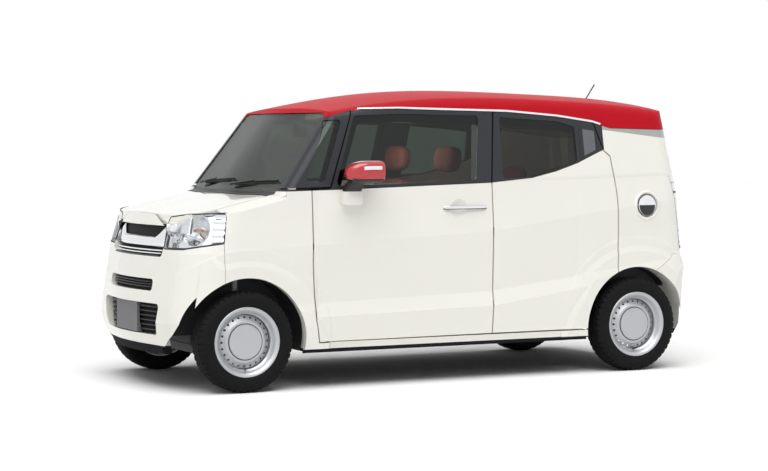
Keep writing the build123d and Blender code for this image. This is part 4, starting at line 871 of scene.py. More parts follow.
class Looks:
    """Materials, each made once."""

    def __init__(self) -> None:
        self._made: dict[Paint, bpy.types.Material] = {}

    def of(self, paint: Paint) -> bpy.types.Material:
        """Material of a finish."""
        if paint not in self._made:
            self._made[paint] = paint.value.make()
        return self._made[paint]


NODE_PAINTS: dict[Paint, tuple[str, ...]] = {
    Paint.BODY: (
        "side_frames", "front_fenders", "side_sills", "quarter_panels", "roof_panel", "front_bumper",
        "rear_bumper", "front_door_left", "front_door_right", "rear_door_left", "rear_door_right", "bonnet",
        "tailgate",
    ),
    Paint.GLASS: (
        "fixed_glass", "front_door_glass_left", "front_door_glass_right", "rear_door_glass_left",
        "rear_door_glass_right", "tailgate_glass",
    ),
    Paint.CHROME: ("front_grille", "door_handle_left", "door_handle_right", "fuel_lid"),
    Paint.BLACK: ("cowl_panel", "antenna", "fuel_tank"),
    Paint.CABIN: ("dashboard", "steering_wheel"),
    Paint.SEAT: ("front_seats", "rear_seats"),
    Paint.STEEL: ("floor_pan", "front_frame", "front_subframe", "rear_axle", "engine"),
    Paint.CAST: ("knuckle_left", "knuckle_right", "exhaust"),
    Paint.PLATE: ("front_plate", "rear_plate"),
    Paint.RED_TRIM: ("door_mirror_left", "door_mirror_right"),
    Paint.LENS: ("headlamps",),
    Paint.TAIL: ("tail_lamps",),
    Paint.DISC: ("rim_front_left", "rim_front_right", "rim_rear_left", "rim_rear_right"),
    Paint.TYRE: ("tyre_front_left", "tyre_front_right", "tyre_rear_left", "tyre_rear_right"),
}


def dress_frame(nodes: dict[str, bpy.types.Object], looks: Looks) -> None:
    """Gives the frame's own nodes their finishes and smooth shading.

    Args:
        nodes: the frame's nodes by name.
        looks: the materials.
    """
    for paint, names in NODE_PAINTS.items():
        for name in names:
            mesh = nodes[name].data
            mesh.materials.clear()
            mesh.materials.append(looks.of(paint))
            smoothed(mesh, FRAME_SHARP_DEG)


# Wheels


@dataclass
class Wheel:
    """Tyre and pressed steel wheel on one hub."""

    name: str
    axle_x: float
    side: Side
    track_y: float = 0.6525
    radius: float = HUB_Z
    half_width: float = 0.0775
    bead: float = 0.176
    flange: float = 0.193
    flange_h: float = 0.066
    cap_radius: float = 0.097
    hole_radius: float = 0.0062
    hole_count: int = 24
    band: tuple[float, float] = (0.1225, 0.1465)
    band_height: float = 0.0340
    band_slope: float = 0.6
    plate: float = 0.0035
    channels: tuple[float, float] = (0.040, 0.013)
    channel_depth: float = 0.0070
    block_depth: float = 0.0065
    block_steps: int = 5
    steps: int = 240

    @property
    def centre(self) -> tuple[float, float, float]:
        """Hub centre in the row frame."""
        return (self.axle_x, self.side.value * self.track_y, self.radius)

    def tyre(self) -> Patch:
        """Tyre ring.

        The section runs from bead to bead; ribs and channels are steps in its radius,
        and the shoulder blocks fall by a square wave of the angle.

        Returns:
            The closed ring.
        """
        b, f, h = self.bead, self.flange, self.flange_h
        top, w = self.radius, self.half_width
        wall = [
            (b + 0.001, h - 0.006), (b + 0.001, h - 0.001),
            (f + 0.001, h), (f + 0.003, h + 0.0045),
            (f + 0.008, h + 0.0075), (f + 0.014, h + 0.0095),
            (f + 0.0145, h + 0.0088), (f + 0.026, h + 0.0112),
            (f + 0.036, w), (f + 0.048, w - 0.0006),
            (f + 0.0485, w - 0.0016), (top - 0.030, w - 0.0035),
        ]
        shoulder = [
            (top - 0.022, w - 0.0058), (top - 0.014, w - 0.0095),
            (top - 0.0075, w - 0.0150), (top - 0.0035, w - 0.0225),
        ]
        tread = []
        for middle in self.channels:
            rib = top - 0.0022 * (middle / 0.055) ** 2
            tread += [
                (rib, middle + 0.0042), (rib - self.channel_depth, middle + 0.0030),
                (rib - self.channel_depth, middle - 0.0030), (rib + 0.0002, middle - 0.0042),
            ]
        half = wall + shoulder + tread
        under = [(b + 0.004, 0.0)]
        section = np.array(half + [(radius, -out) for radius, out in reversed(half)] + under)
        sunk = np.zeros(len(section))
        count = len(half)
        sunk[len(wall) + 1:len(wall) + 5] = 1.0
        sunk[count:2 * count] = sunk[:count][::-1]
        t = arc(self.steps)[:, None]
        block = (np.arange(self.steps) % self.block_steps == 0)[:, None]
        r = section[:, 0] - self.block_depth * block * sunk
        flat = np.broadcast_to(self.side.value * section[:, 1], r.shape)
        grid = np.stack([r * np.sin(t), flat, r * np.cos(t)], -1) + np.asarray(self.centre)
        return Patch.grid(grid, True, True)

    def barrel(self) -> Patch:
        """Rim barrel and its two rolled flanges."""
        b, f, h = self.bead, self.flange, self.flange_h
        outer = [
            (b, h - 0.004), (f - 0.004, h - 0.002), (f - 0.0005, h + 0.0005), (f - 0.0005, h + 0.0040),
            (f - 0.0030, h + 0.0062), (f - 0.0080, h + 0.0050), (b - 0.0020, h - 0.0020),
            (b - 0.0080, h - 0.0080), (b - 0.0120, h - 0.0200), (b - 0.0240, h - 0.0300),
            (b - 0.0260, h - 0.0500),
        ]
        inner = [
            (b - 0.0260, -h + 0.0200), (b - 0.0080, -h + 0.0080), (f - 0.0060, -h - 0.0040),
            (f - 0.0005, -h - 0.0040), (f - 0.0005, -h), (b, -h + 0.002), (b - 0.002, -h + 0.020),
            (b - 0.020, -h + 0.030), (b - 0.020, h - 0.034), (b - 0.002, h - 0.022),
        ]
        return revolved(outer + inner, self.centre, self.side.value, 120)

    def disc(self) -> Patch:
        """Pressed disc from the cap's edge to the row of holes, and its edge behind."""
        section = [
            (0.060, 0.0370), (0.100, 0.0400), (0.108, 0.0425), (0.116, 0.0405), (0.1225, 0.0340),
            (0.1225, 0.0305), (0.116, 0.0365), (0.108, 0.0385), (0.100, 0.0360), (0.060, 0.0330),
        ]
        return revolved(section, self.centre, self.side.value, 120)

    def hole_band(self) -> list[Patch]:
        """Band of the disc with a ring of round holes.

        Each cell is a ring sector; a point is the hole's circle moved towards the
        sector's outline by v, and the outline of a unit square is u / max(|u|).

        Returns:
            Outer face, inner face and walls, as one closed set.
        """
        steps, rings = 24, 3
        t = arc(steps + 1, 0.0, 360.0, False)
        unit = np.stack([np.cos(t), np.sin(t)], -1)
        square = unit / np.abs(unit).max(1, keepdims=True)
        inner, outer = self.band
        middle = 0.5 * (inner + outer)
        pitch = math.pi / self.hole_count
        v = np.linspace(0.0, 1.0, rings)[:, None]
        hole_a = self.hole_radius * unit[:, 0] / middle
        hole_r = middle + self.hole_radius * unit[:, 1]
        cell_a = square[:, 0] * pitch
        cell_r = middle + square[:, 1] * 0.5 * (outer - inner)
        a = hole_a + v * (cell_a - hole_a)
        r = hole_r + v * (cell_r - hole_r)
        turn = (2.0 * pitch * np.arange(self.hole_count))[:, None, None]

        def sheet(depth: float) -> Array:
            """Cells of the band at a depth below the outer face."""
            h = self.band_height - self.band_slope * (r - inner) - depth
            angle = a[None] + turn
            full = np.broadcast_to(r, angle.shape), np.broadcast_to(h, angle.shape)
            grid = np.stack([full[0] * np.sin(angle), self.side.value * full[1], full[0] * np.cos(angle)], -1)
            return grid + np.asarray(self.centre)

        top, low = sheet(0.0), sheet(self.plate)
        patches = [Patch.grid(cell) for cell in top] + [Patch.grid(cell) for cell in low]
        patches += [Patch.grid(np.stack([one[0], two[0]])) for one, two in zip(top, low)]
        return patches

    def cap(self) -> Patch:
        """Flat bare cap with a rolled edge."""
        c = self.cap_radius
        section = [
            (0.0, 0.0490), (c - 0.030, 0.0488), (c - 0.008, 0.0478), (c - 0.0020, 0.0462), (c, 0.0430),
            (c, 0.0405), (c - 0.004, 0.0385), (0.0, 0.0385),
        ]
        return revolved(section, self.centre, self.side.value, 96)

    def cap_line(self) -> Patch:
        """Dark ring painted as the shade in the gap round the cap."""
        c = self.cap_radius
        section = [(c - 0.001, 0.0406), (c + 0.0038, 0.0409), (c + 0.0038, 0.0418), (c - 0.001, 0.0416)]
        return revolved(section, self.centre, self.side.value, 96)

    def valve(self) -> Patch:
        """Valve stem at the foot of the barrel."""
        x, y, z = self.centre
        s = self.side.value
        steps = ((0.030, 0.150), (0.052, 0.146), (0.060, 0.145))
        path = along([(x, y + s * out, z - drop) for out, drop in steps], 8)
        size = np.array([1.3, 1.3, 1.2, 1.0, 0.9, 0.9, 1.0, 0.8])
        return swept(path, round_section(0.0045, 10), UP, size)

    def build(self, shop: Workshop) -> None:
        """Makes the wheel's pieces."""
        wheel = [self.barrel(), self.disc(), *self.hole_band()]
        pieces = (
            ("tyre_shape", [self.tyre()], Paint.TYRE, (f"tyre_{self.name}",)),
            ("steel_wheel", wheel, Paint.DISC, (f"rim_{self.name}",)),
            ("wheel_cap", [self.cap()], Paint.DISC, ()),
            # Painted shade: a dark ring where the cap meets the disc.
            ("cap_line", [self.cap_line()], Paint.SEAL, ()),
            ("valve", [self.valve()], Paint.SEAL, ()),
        )
        for name, patches, paint, stands_for in pieces:
            shop.piece(f"{name}_{self.name}", patches, paint, f"wheel_{self.name}", stands_for)


WHEELS = (
    ("front_left", FRONT_AXLE_X, Side.LEFT),
    ("front_right", FRONT_AXLE_X, Side.RIGHT),
    ("rear_left", REAR_AXLE_X, Side.LEFT),
    ("rear_right", REAR_AXLE_X, Side.RIGHT),
)


# Nose


@dataclass(frozen=True)
class Straight:
    """Value that runs evenly from start, at 0, to end, at 1, and is level where both are equal."""

    start: float
    end: float

    def __call__(self, share: Array) -> Array:
        """Value at each share."""
        return self.start + (self.end - self.start) * share


Course: TypeAlias = Callable[[Array], Array]


@dataclass
class Nose:
    """Grille and intakes on the car's face."""

    probe: SkinProbe
    bow_radius: float = 1.5
    heights: tuple[float, ...] = (0.250, 0.290, 0.520, 0.640, 0.720, 0.920)

    def __post_init__(self) -> None:
        """Reads the nose's middle line off the bumper."""
        places = np.array([(0.0, z) for z in self.heights])
        self.middle = self.probe.ahead(places, 1)[0][:, 0]

    def at(self, y: Array | float, z: Array | float, inset: float = 0.0) -> Array:
        """Points on the bowed face.

        The face is x = x0(z) - (R - sqrt(R^2 - y^2)) - inset.

        Args:
            y: places across.
            z: heights.
            inset: depth behind the face.

        Returns:
            The points.
        """
        y, z = np.broadcast_arrays(np.asarray(y, float), np.asarray(z, float))
        bow = self.bow_radius - np.sqrt(self.bow_radius**2 - y**2)
        x = np.interp(z, self.heights, self.middle) - bow - inset
        return np.stack([x, y, z], -1)

    def sheet(
        self,
        low: Course,
        high: Course,
        half: Course,
        inset: Course,
        thickness: float,
        rows: int = 13,
        cols: int = 61,
    ) -> Patch:
        """Closed sheet across the face.

        Args:
            low: lower edge's height over |y|.
            high: upper edge's height over |y|.
            half: half width over the share of height, 0 to 1.
            inset: depth behind the face over the share of height.
            thickness: depth of the sheet.
            rows: rows of points.
            cols: columns of points.

        Returns:
            The closed sheet.
        """
        v = np.linspace(0.0, 1.0, rows)[None, :]
        u = np.linspace(-1.0, 1.0, cols)[:, None]
        y = u * half(v)
        z = low(np.abs(y)) + v * (high(np.abs(y)) - low(np.abs(y)))
        points = self.at(y, z)
        points[..., 0] -= inset(v)
        return slab(points, thickness)

    def bar(self, y_half: float, z: float, inset: float, width: float, height: float) -> Patch:
        """Rounded bar across the face at one height."""
        y = np.linspace(-y_half, y_half, 49)
        return swept(self.at(y, z, inset), soft_section(height, width), AHEAD)

    @staticmethod
    def wing(y: Array) -> Array:
        """Upper edge of the broad bar, which rises at its ends."""
        return 0.842 + 0.056 * np.clip((y - 0.235) / 0.085, 0.0, 1.0) ** 1.5

    @staticmethod
    def crown(share: Array) -> Array:
        """Depth of the broad bar, which falls back at its two edges."""
        return 0.004 + 0.016 * (2.0 * share - 1.0) ** 4

    def build(self, shop: Workshop) -> None:
        """Makes the grille: dark sheets of painted shade behind its openings, winged broad bar, thin bars and
        slats.
        """
        # Lower and upper height, half width at foot and top, and depth behind the face
        shade_sheets = (
            (0.738, 0.902, 0.372, 0.384, 0.034),
            (0.550, 0.608, 0.326, 0.326, 0.034),
            (0.310, 0.476, 0.388, 0.430, 0.036),
        )
        patches = []
        for low, high, foot, top, deep in shade_sheets:
            lines = (Straight(low, low), Straight(high, high), Straight(foot, top), Straight(deep, deep))
            patches.append(self.sheet(*lines, 0.004))
        # The near-black sheets stand in for the shade inside the openings.
        shop.piece("grille_backing", patches, Paint.DARK, stands_for=("front_grille",))
        broad = self.sheet(
            Straight(0.785, 0.785), self.wing, Straight(0.366, 0.376), self.crown, 0.010, 17, 81
        )
        thin = [self.bar(0.360, 0.769, 0.010, 0.014, 0.0085), self.bar(0.352, 0.7525, 0.011, 0.014, 0.0085)]
        shop.piece("grille_bars", [broad, *thin], Paint.CHROME)
        slats = [self.bar(0.345, 0.7385, 0.006, 0.016, 0.009)]
        slats += [self.bar(0.318, z, 0.020, 0.012, 0.006) for z in (0.566, 0.580, 0.594)]
        for z in np.linspace(0.330, 0.458, 6):
            slats.append(self.bar(0.385 + 0.25 * (z - 0.310), z, 0.022, 0.014, 0.008))
        shop.piece("intake_slats", slats, Paint.BLACK)


@dataclass
class Headlamp:
    """Reflectors, bulbs and gasket behind one clear headlamp lens."""

    probe: SkinProbe
    side: Side
    angle_deg: float = 40.0
    lower: tuple[tuple[float, float], ...] = ((-0.726, 0.777), (-0.560, 0.780), (-0.332, 0.815))
    upper: tuple[tuple[float, float], ...] = (
        (-0.726, 0.900), (-0.700, 0.957), (-0.560, 0.975), (-0.334, 0.985),
    )
    bowls: tuple[tuple[float, float, float, float], ...] = (
        (-0.640, 0.868, 0.056, 0.034), (-0.515, 0.886, 0.084, 0.046),
    )
    base_depth: float = 0.034
    corner_depth: float = 0.007
    rib_depth: float = 0.003
    rib_pitch: float = 0.036
    flute_depth: float = 0.004
    flute_pitch: float = 0.030

    def at(self, u: Array, z: Array, depth: Array | float) -> Array:
        """Points behind the lens.

        Args:
            u: place along the lamp's plane.
            z: height.
            depth: distance behind the skin along the lamp's look.

        Returns:
            The points, on the lamp's own side.
        """
        turn = math.radians(self.angle_deg)
        look = np.array([math.cos(turn), math.sin(turn), 0.0])
        run = np.array([-look[1], look[0], 0.0])
        flat = np.stack([u.ravel(), z.ravel()], -1)
        starts = flat[:, :1] * run + flat[:, 1:] * np.array(UP) + self.probe.side_start * look
        hits = self.probe.along_ray(starts, -look)
        points = hits.reshape(u.shape + (3,)) - np.asarray(depth)[..., None] * look
        return points * (1.0, float(self.side.value), 1.0)

    def limits(self, u: Array, margin: float) -> tuple[Array, Array]:
        """Lowest and highest z of the outline at each u, less a margin."""
        return height_at(self.lower, u) + margin, height_at(self.upper, u) - margin

    def shell(self) -> Patch:
        """Mirror shell: flat ground with a paraboloid sunk in it for each bowl."""
        u = np.linspace(-0.716, -0.344, 64)[:, None]
        low, high = self.limits(u, 0.010)
        v = np.linspace(0.0, 1.0, 34)[None, :]
        z = low + v * (high - low)
        u = np.broadcast_to(u, z.shape)
        depth = np.full(z.shape, self.base_depth)
        for bowl_u, bowl_z, radius, sink in self.bowls:
            far = ((u - bowl_u) ** 2 + (z - bowl_z) ** 2) / radius**2
            depth = depth + sink * np.clip(1.0 - far, 0.0, 1.0)
        ribs = self.rib_depth * np.sin((z - 0.80) * 2.0 * math.pi / self.rib_pitch)
        ribs = ribs * np.clip((u + 0.415) / 0.012, 0.0, 1.0)
        flutes = self.flute_depth * np.cos((u + 0.720) * 2.0 * math.pi / self.flute_pitch)
        flutes = flutes * np.clip((-0.672 - u) / 0.010, 0.0, 1.0)
        corner = np.clip((z - 0.845) / 0.020, 0.0, 1.0) * np.clip((-0.505 - u) / 0.030, 0.0, 1.0)
        depth = (depth + ribs + flutes) * (1.0 - corner) + self.corner_depth * corner
        return slab(self.at(u, z, depth), 0.003)

    def bulb(self, bowl: int, length: float, radius: float) -> Patch:
        """Round-nosed bulb that stands out of a bowl."""
        u, z, _, sink = self.bowls[bowl]
        depth = self.base_depth + sink - np.linspace(0.0, length, 12)
        path = self.at(np.full(12, u), np.full(12, z), depth)
        size = np.sqrt(np.clip(1.0 - np.linspace(0.0, 0.99, 12) ** 4, 0.0, 1.0))
        return swept(path, round_section(radius, 16), UP, size)

    def gasket(self) -> Patch:
        """Dark line round the lens."""
        u = np.concatenate([np.linspace(-0.722, -0.336, 60), np.linspace(-0.336, -0.722, 60)])
        low, high = self.limits(u, 0.003)
        z = np.where(np.arange(120) < 60, low, high)
        path = self.at(u, z, 0.0015)
        path = np.concatenate([path, path[:1]])
        return swept(path, soft_section(0.0075, 0.006, 3.0, 10), (0.7, 0.6 * self.side.value, 0.0))

    def build(self, shop: Workshop) -> None:
        """Makes the lamp's pieces."""
        word = self.side.word
        shop.piece(f"lamp_mirror_{word}", [self.shell()], Paint.CHROME, sharp_deg=50.0)
        shop.piece(f"lamp_bulb_{word}", [self.bulb(0, 0.050, 0.019)], Paint.SATIN)
        shop.piece(f"lamp_amber_{word}", [self.bulb(1, 0.046, 0.012)], Paint.AMBER)
        shop.piece(f"lamp_gasket_{word}", [self.gasket()], Paint.SEAL)


# Doors


@dataclass
class DoorMirror:
    """Mirror head, lamp strip, glass and foot on one front door."""

    side: Side
    centre: tuple[float, float, float] = (0.590, 0.819, 1.203)
    half: tuple[float, float, float] = (0.108, 0.066, 0.058)
    power: float = 3.4
    plate: float = 0.003

    def surface(self, t: Array, turn: Array, grow: float = 0.0) -> Array:
        """Points on the head.

        The section is a superellipse of the head's power, and its size is
        sqrt(1 - 0.985 f^2.6) with f = (t + 0.25) / 1.25 towards the front.

        Args:
            t: place along the head, -1 at the glass and 1 at the front.
            turn: angle round the section, 0 outboard and pi/2 up.
            grow: distance outside the head's own skin.

        Returns:
            The points on the left side of the car.
        """
        t, turn = np.broadcast_arrays(t, turn)
        front = np.clip((t + 0.25) / 1.25, 0.0, 1.0)
        lip = np.clip((-0.86 - t) / 0.14, 0.0, 1.0)
        size = np.sqrt(1.0 - 0.985 * front**2.6) * (1.0 - 0.07 * lip**2)
        c, s = np.cos(turn), np.sin(turn)
        bend = 2.0 / self.power
        across = np.sign(c) * np.abs(c) ** bend * size
        up = np.sign(s) * np.abs(s) ** bend * size
        x = self.centre[0] + self.half[0] * t
        y = self.centre[1] + (self.half[1] + grow) * across
        z = self.centre[2] + (self.half[2] + grow) * up - 0.012 * front**2
        return np.stack([x, y, z], -1)

    def patch(self, t: tuple[float, float], turn_deg: tuple[float, float], grow: float) -> Patch:
        """Thin plate on part of the head."""
        rows = np.linspace(*t, 18)[:, None]
        cols = np.radians(np.linspace(*turn_deg, 14))[None, :]
        return slab(self.surface(rows, cols, grow), self.plate)

    def head(self) -> Patch:
        """Closed head."""
        rows = self.surface(np.linspace(-1.0, 1.0, 36)[:, None], arc(56)[None, :])
        ends = [np.broadcast_to(r.mean(0), r.shape)[None] for r in (rows[0], rows[-1])]
        return Patch.grid(np.concatenate([ends[0], rows, ends[1]]), False, True)

    def foot(self) -> Patch:
        """White foot on the door's shoulder."""
        path = np.array([(0.620, 0.738, h) for h in (1.018, 1.021, 1.030, 1.060, 1.085, 1.092)])
        size = (0.86, 0.95, 1.0, 1.0, 0.99, 0.97)
        return swept(path, soft_section(0.078, 0.126, 4.0, 40), AHEAD, size)

    def neck(self) -> Patch:
        """Dark neck from the foot to the head."""
        corners = ((0.622, 0.740, 1.088), (0.618, 0.752, 1.112), (0.602, 0.785, 1.150), (0.598, 0.800, 1.165))
        size = np.linspace(1.0, 0.72, 12)
        return swept(along(corners, 12), soft_section(0.060, 0.108, 4.0, 32), AHEAD, size)

    def glass(self) -> Patch:
        """Mirror glass at the back of the head."""
        x, y, z = self.centre
        path = np.array([(x - self.half[0] - 0.0015, y, z), (x - self.half[0] + 0.004, y, z)])
        return swept(path, soft_section(0.110, 0.094, self.power, 40), UP)

    def build(self, shop: Workshop) -> None:
        """Makes the mirror's pieces."""
        word = self.side.word
        # The dark plate over the head's underside is painted shade, the shadow line below the mirror.
        under = self.patch((-0.93, 0.72), (216.0, 324.0), 0.0010)
        strip = self.patch((-0.78, 0.22), (3.0, 18.0), 0.0016)
        pieces = (
            ("mirror_head", self.head(), Paint.RED_TRIM, (f"door_mirror_{word}",)),
            ("mirror_glass", self.glass(), Paint.CHROME, ()),
            ("mirror_foot", self.foot(), Paint.WHITE_TRIM, ()),
            ("mirror_neck", Patch.merge([self.neck(), under]), Paint.BLACK, ()),
            ("mirror_lamp", strip, Paint.LAMP, ()),
        )
        for name, patch, paint, stands_for in pieces:
            shape = patch if self.side is Side.LEFT else patch.mirrored()
            shop.piece(f"{name}_{word}", [shape], paint, f"front_door_{word}", stands_for)


@dataclass
class Flank:
    """Handle, strips, slats, fuel lid and lamp edge on one side of the car."""

    side: Side
    nodes: dict[str, bpy.types.Object]
    lid: tuple[float, float] = (-1.3435, 0.986)
    handle_rear_x: float = -0.249
    handle_length: float = 0.283
    handle_y: float = 0.7195
    handle_bow: float = 0.0105
    handle_z: float = 0.9935
    handle_edge_z: float = 0.9845

    def __post_init__(self) -> None:
        """Prepares the probe of this side's skin."""
        doors = (f"front_door_{self.side.word}", f"rear_door_{self.side.word}")
        panels = ("side_frames", "roof_panel", "quarter_panels", "side_sills", "front_fenders", "tail_lamps")
        self.skin = SkinProbe(self.nodes, panels + doors)

    def sheet(
        self,
        x: tuple[float, float],
        cols: int,
        gaps: tuple[float, float],
        lift: Array | float,
        thickness: float,
    ) -> Patch:
        """Closed sheet on the skin between the windows' lower edge and the roof.

        Args:
            x: first and last place along the car.
            cols: columns of points.
            gaps: distance above the windows' edge and below the roof's.
            lift: distance off the skin, one for all or one for each column.
            thickness: depth of the sheet.

        Returns:
            The sheet.
        """
        across = np.linspace(*x, cols)
        low = height_at(WINDOW_EDGE, across) + gaps[0]
        high = height_at(ROOF_EDGE, across) - gaps[1]
        z = low[:, None] + np.linspace(0.0, 1.0, 16)[None, :] * (high - low)[:, None]
        places = np.stack([np.broadcast_to(across[:, None], z.shape), z], -1)
        points, normals = self.skin.side(places, self.side)
        return slab(points + normals * np.broadcast_to(lift, (cols,))[:, None, None], thickness)

    def handle(self, shop: Workshop) -> None:
        """Makes the bowed bar of the front door's handle and the dark strip along its foot, a painted
        reflection of the chrome's dark lower tone.
        """
        word, sign = self.side.word, self.side.value
        u = np.linspace(0.0, 1.0, 40)
        x = self.handle_rear_x + self.handle_length * u
        bow = self.handle_y + self.handle_bow * (1.0 - (2.0 * u - 1.0) ** 6)
        size = np.clip(1.0 - (2.0 * u - 1.0) ** 16, 0.0, 1.0) ** 0.5
        size = np.maximum(size, 0.25)
        bar_path = np.stack([x, sign * bow, np.full(40, self.handle_z)], -1)
        bar = swept(bar_path, soft_section(0.012, 0.0185, 3.2, 24), UP, size)
        # Painted reflection: the dark strip gives the chrome bar its dark lower tone.
        edge_path = np.stack([x, sign * (bow - 0.0005), np.full(40, self.handle_edge_z)], -1)
        edge = swept(edge_path, soft_section(0.011, 0.006, 3.0, 12), UP, size)
        door = f"front_door_{word}"
        shop.piece(f"handle_bar_{word}", [bar], Paint.CHROME, door, (f"door_handle_{word}",))
        shop.piece(f"handle_edge_{word}", [edge], Paint.BLACK, door)

    def roof_strip(self, shop: Workshop) -> None:
        """Makes the bright strip below the roof's edge."""
        x = np.linspace(0.520, -1.060, 90)
        places = np.stack([x, height_at(ROOF_EDGE, x) + 0.004], -1)
        path, normals = self.skin.side(places, self.side, 0.0015)
        strip = swept(path, soft_section(0.012, 0.008, 3.0, 12), normals)
        shop.piece(f"roof_strip_{self.side.word}", [strip], Paint.BRIGHT)

    def slats(self, shop: Workshop) -> None:
        """Makes the slatted panel, the dark sheet of painted shade in the recess past it and the post behind
        the rear window.
        """
        word = self.side.word
        waves = 0.0015 + 0.0022 * np.abs(np.sin(np.linspace(0.0, 3.0 * math.pi, 33))) ** 0.5
        panel = self.sheet((-0.932, -1.012), 33, (0.022, 0.052), waves, 0.004)
        shop.piece(f"pillar_slats_{word}", [panel], Paint.SLAT, f"rear_door_{word}")
        # Painted shade: a dark sheet in the recess just past the slats.
        recess_shade = self.sheet((-1.016, -1.040), 9, (0.024, 0.050), 0.0008, 0.003)
        post = self.sheet((-0.906, -0.926), 7, (0.012, 0.046), 0.0022, 0.004)
        shop.piece(f"pillar_grip_{word}", [recess_shade, post], Paint.SEAL, f"rear_door_{word}")

    def fuel(self, shop: Workshop) -> None:
        """Makes the raised ring and the domed lid, which are on the left side only."""
        radius = np.array([0.0728, 0.0745, 0.0790, 0.0850, 0.0895, 0.0895, 0.0728])
        height = np.array([0.0005, 0.0050, 0.0065, 0.0045, 0.0005, -0.0030, -0.0030])
        turn = arc(96)[:, None]
        places = np.stack([self.lid[0] + radius * np.sin(turn), self.lid[1] + radius * np.cos(turn)], -1)
        points, normals = self.skin.side(places, self.side)
        ring = Patch.grid(points + height[None, :, None] * normals, True, True)
        shop.piece("fuel_ring", [ring], Paint.WHITE_TRIM)
        centre = SkinProbe(self.nodes, ("fuel_lid",)).side(np.array([self.lid]), self.side)[0][0]
        section = (
            (0.0, 0.0045), (0.020, 0.0041), (0.040, 0.0026), (0.054, 0.0006), (0.0595, -0.0018),
            (0.0595, -0.004), (0.0, -0.004),
        )
        # The lid's finish darkens the dome's lower half as a painted reflection.
        shop.piece("fuel_dome", [revolved(section, centre, 1)], Paint.LID, "fuel_lid")

    def tail_lens(self, shop: Workshop) -> None:
        """Makes the part of the tail lamp that wraps onto the flank."""
        z = np.linspace(0.720, 1.162, 45)[:, None]
        front = np.interp(z, (0.716, 0.900, 1.110, 1.165), (-1.642, -1.612, -1.568, -1.548))
        across = np.linspace(0.034, -0.010, 12)[None, :]
        places = np.stack([front + across, np.broadcast_to(z, (45, 12))], -1)
        points, normals = self.skin.side(places, self.side)
        shop.piece(f"tail_wrap_{self.side.word}", [slab(points + 0.0016 * normals, 0.003)], Paint.TAIL)

    def build(self, shop: Workshop) -> None:
        """Makes the pieces of this side."""
        self.tail_lens(shop)
        self.handle(shop)
        self.roof_strip(shop)
        self.slats(shop)
        if self.side is Side.LEFT:
            self.fuel(shop)


# Cabin


@dataclass(frozen=True)
class Pad:
    """One stuffed piece of a seat."""

    name: str
    centre: tuple[float, float, float]
    size: tuple[float, float, float]
    lean_deg: float = 0.0
    power: float = 5.0
    cap: float = 0.024

    def blank(self) -> Patch:
        """Rounded block, a little small, |x/a|^p + |y/b|^p + |z/c|^p = 1.

        Returns:
            The closed block in its place.
        """
        t = np.linspace(-0.5 * math.pi, 0.5 * math.pi, 33)[:, None]
        turn = arc(64)[None, :]
        bend = 2.0 / self.power

        def soft(value: Array) -> Array:
            """Signed power that squares the block off."""
            return np.sign(value) * np.abs(value) ** bend

        half = 0.5 * np.asarray(self.size) - 0.6 * self.cap
        x = half[0] * soft(np.cos(t)) * soft(np.cos(turn))
        y = half[1] * soft(np.cos(t)) * soft(np.sin(turn))
        z = half[2] * soft(np.sin(t)) * np.ones_like(turn)
        lean = math.radians(self.lean_deg)
        c, s = math.cos(lean), math.sin(lean)
        place = np.stack([x * c - z * s, y, x * s + z * c], -1)
        return Patch.grid(place + np.asarray(self.centre), False, True)


# Each seat's name, the node that it replaces, its Y and its pads, none where the last ones are copied
PADS = (
    ("front_left", "front_seats", 0.325, (
        Pad("cushion", (0.150, 0.0, 0.470), (0.500, 0.470, 0.170), 4.0),
        Pad("back", (-0.128, 0.0, 0.832), (0.150, 0.460, 0.690), 12.0),
        Pad("headrest", (-0.208, 0.0, 1.262), (0.100, 0.270, 0.165), 8.0, 3.6, 0.014),
    )),
    ("front_right", "", -0.325, ()),
    ("rear", "rear_seats", 0.0, (
        Pad("cushion", (-0.765, 0.0, 0.505), (0.470, 1.010, 0.170), 4.0),
        Pad("back", (-0.985, 0.0, 0.800), (0.140, 1.010, 0.520), 10.0),
    )),
    ("rear_left", "", 0.270, (
        Pad("headrest", (-1.010, 0.0, 1.140), (0.090, 0.250, 0.150), 6.0, 3.6, 0.014),
    )),
    ("rear_right", "", -0.270, ()),
)


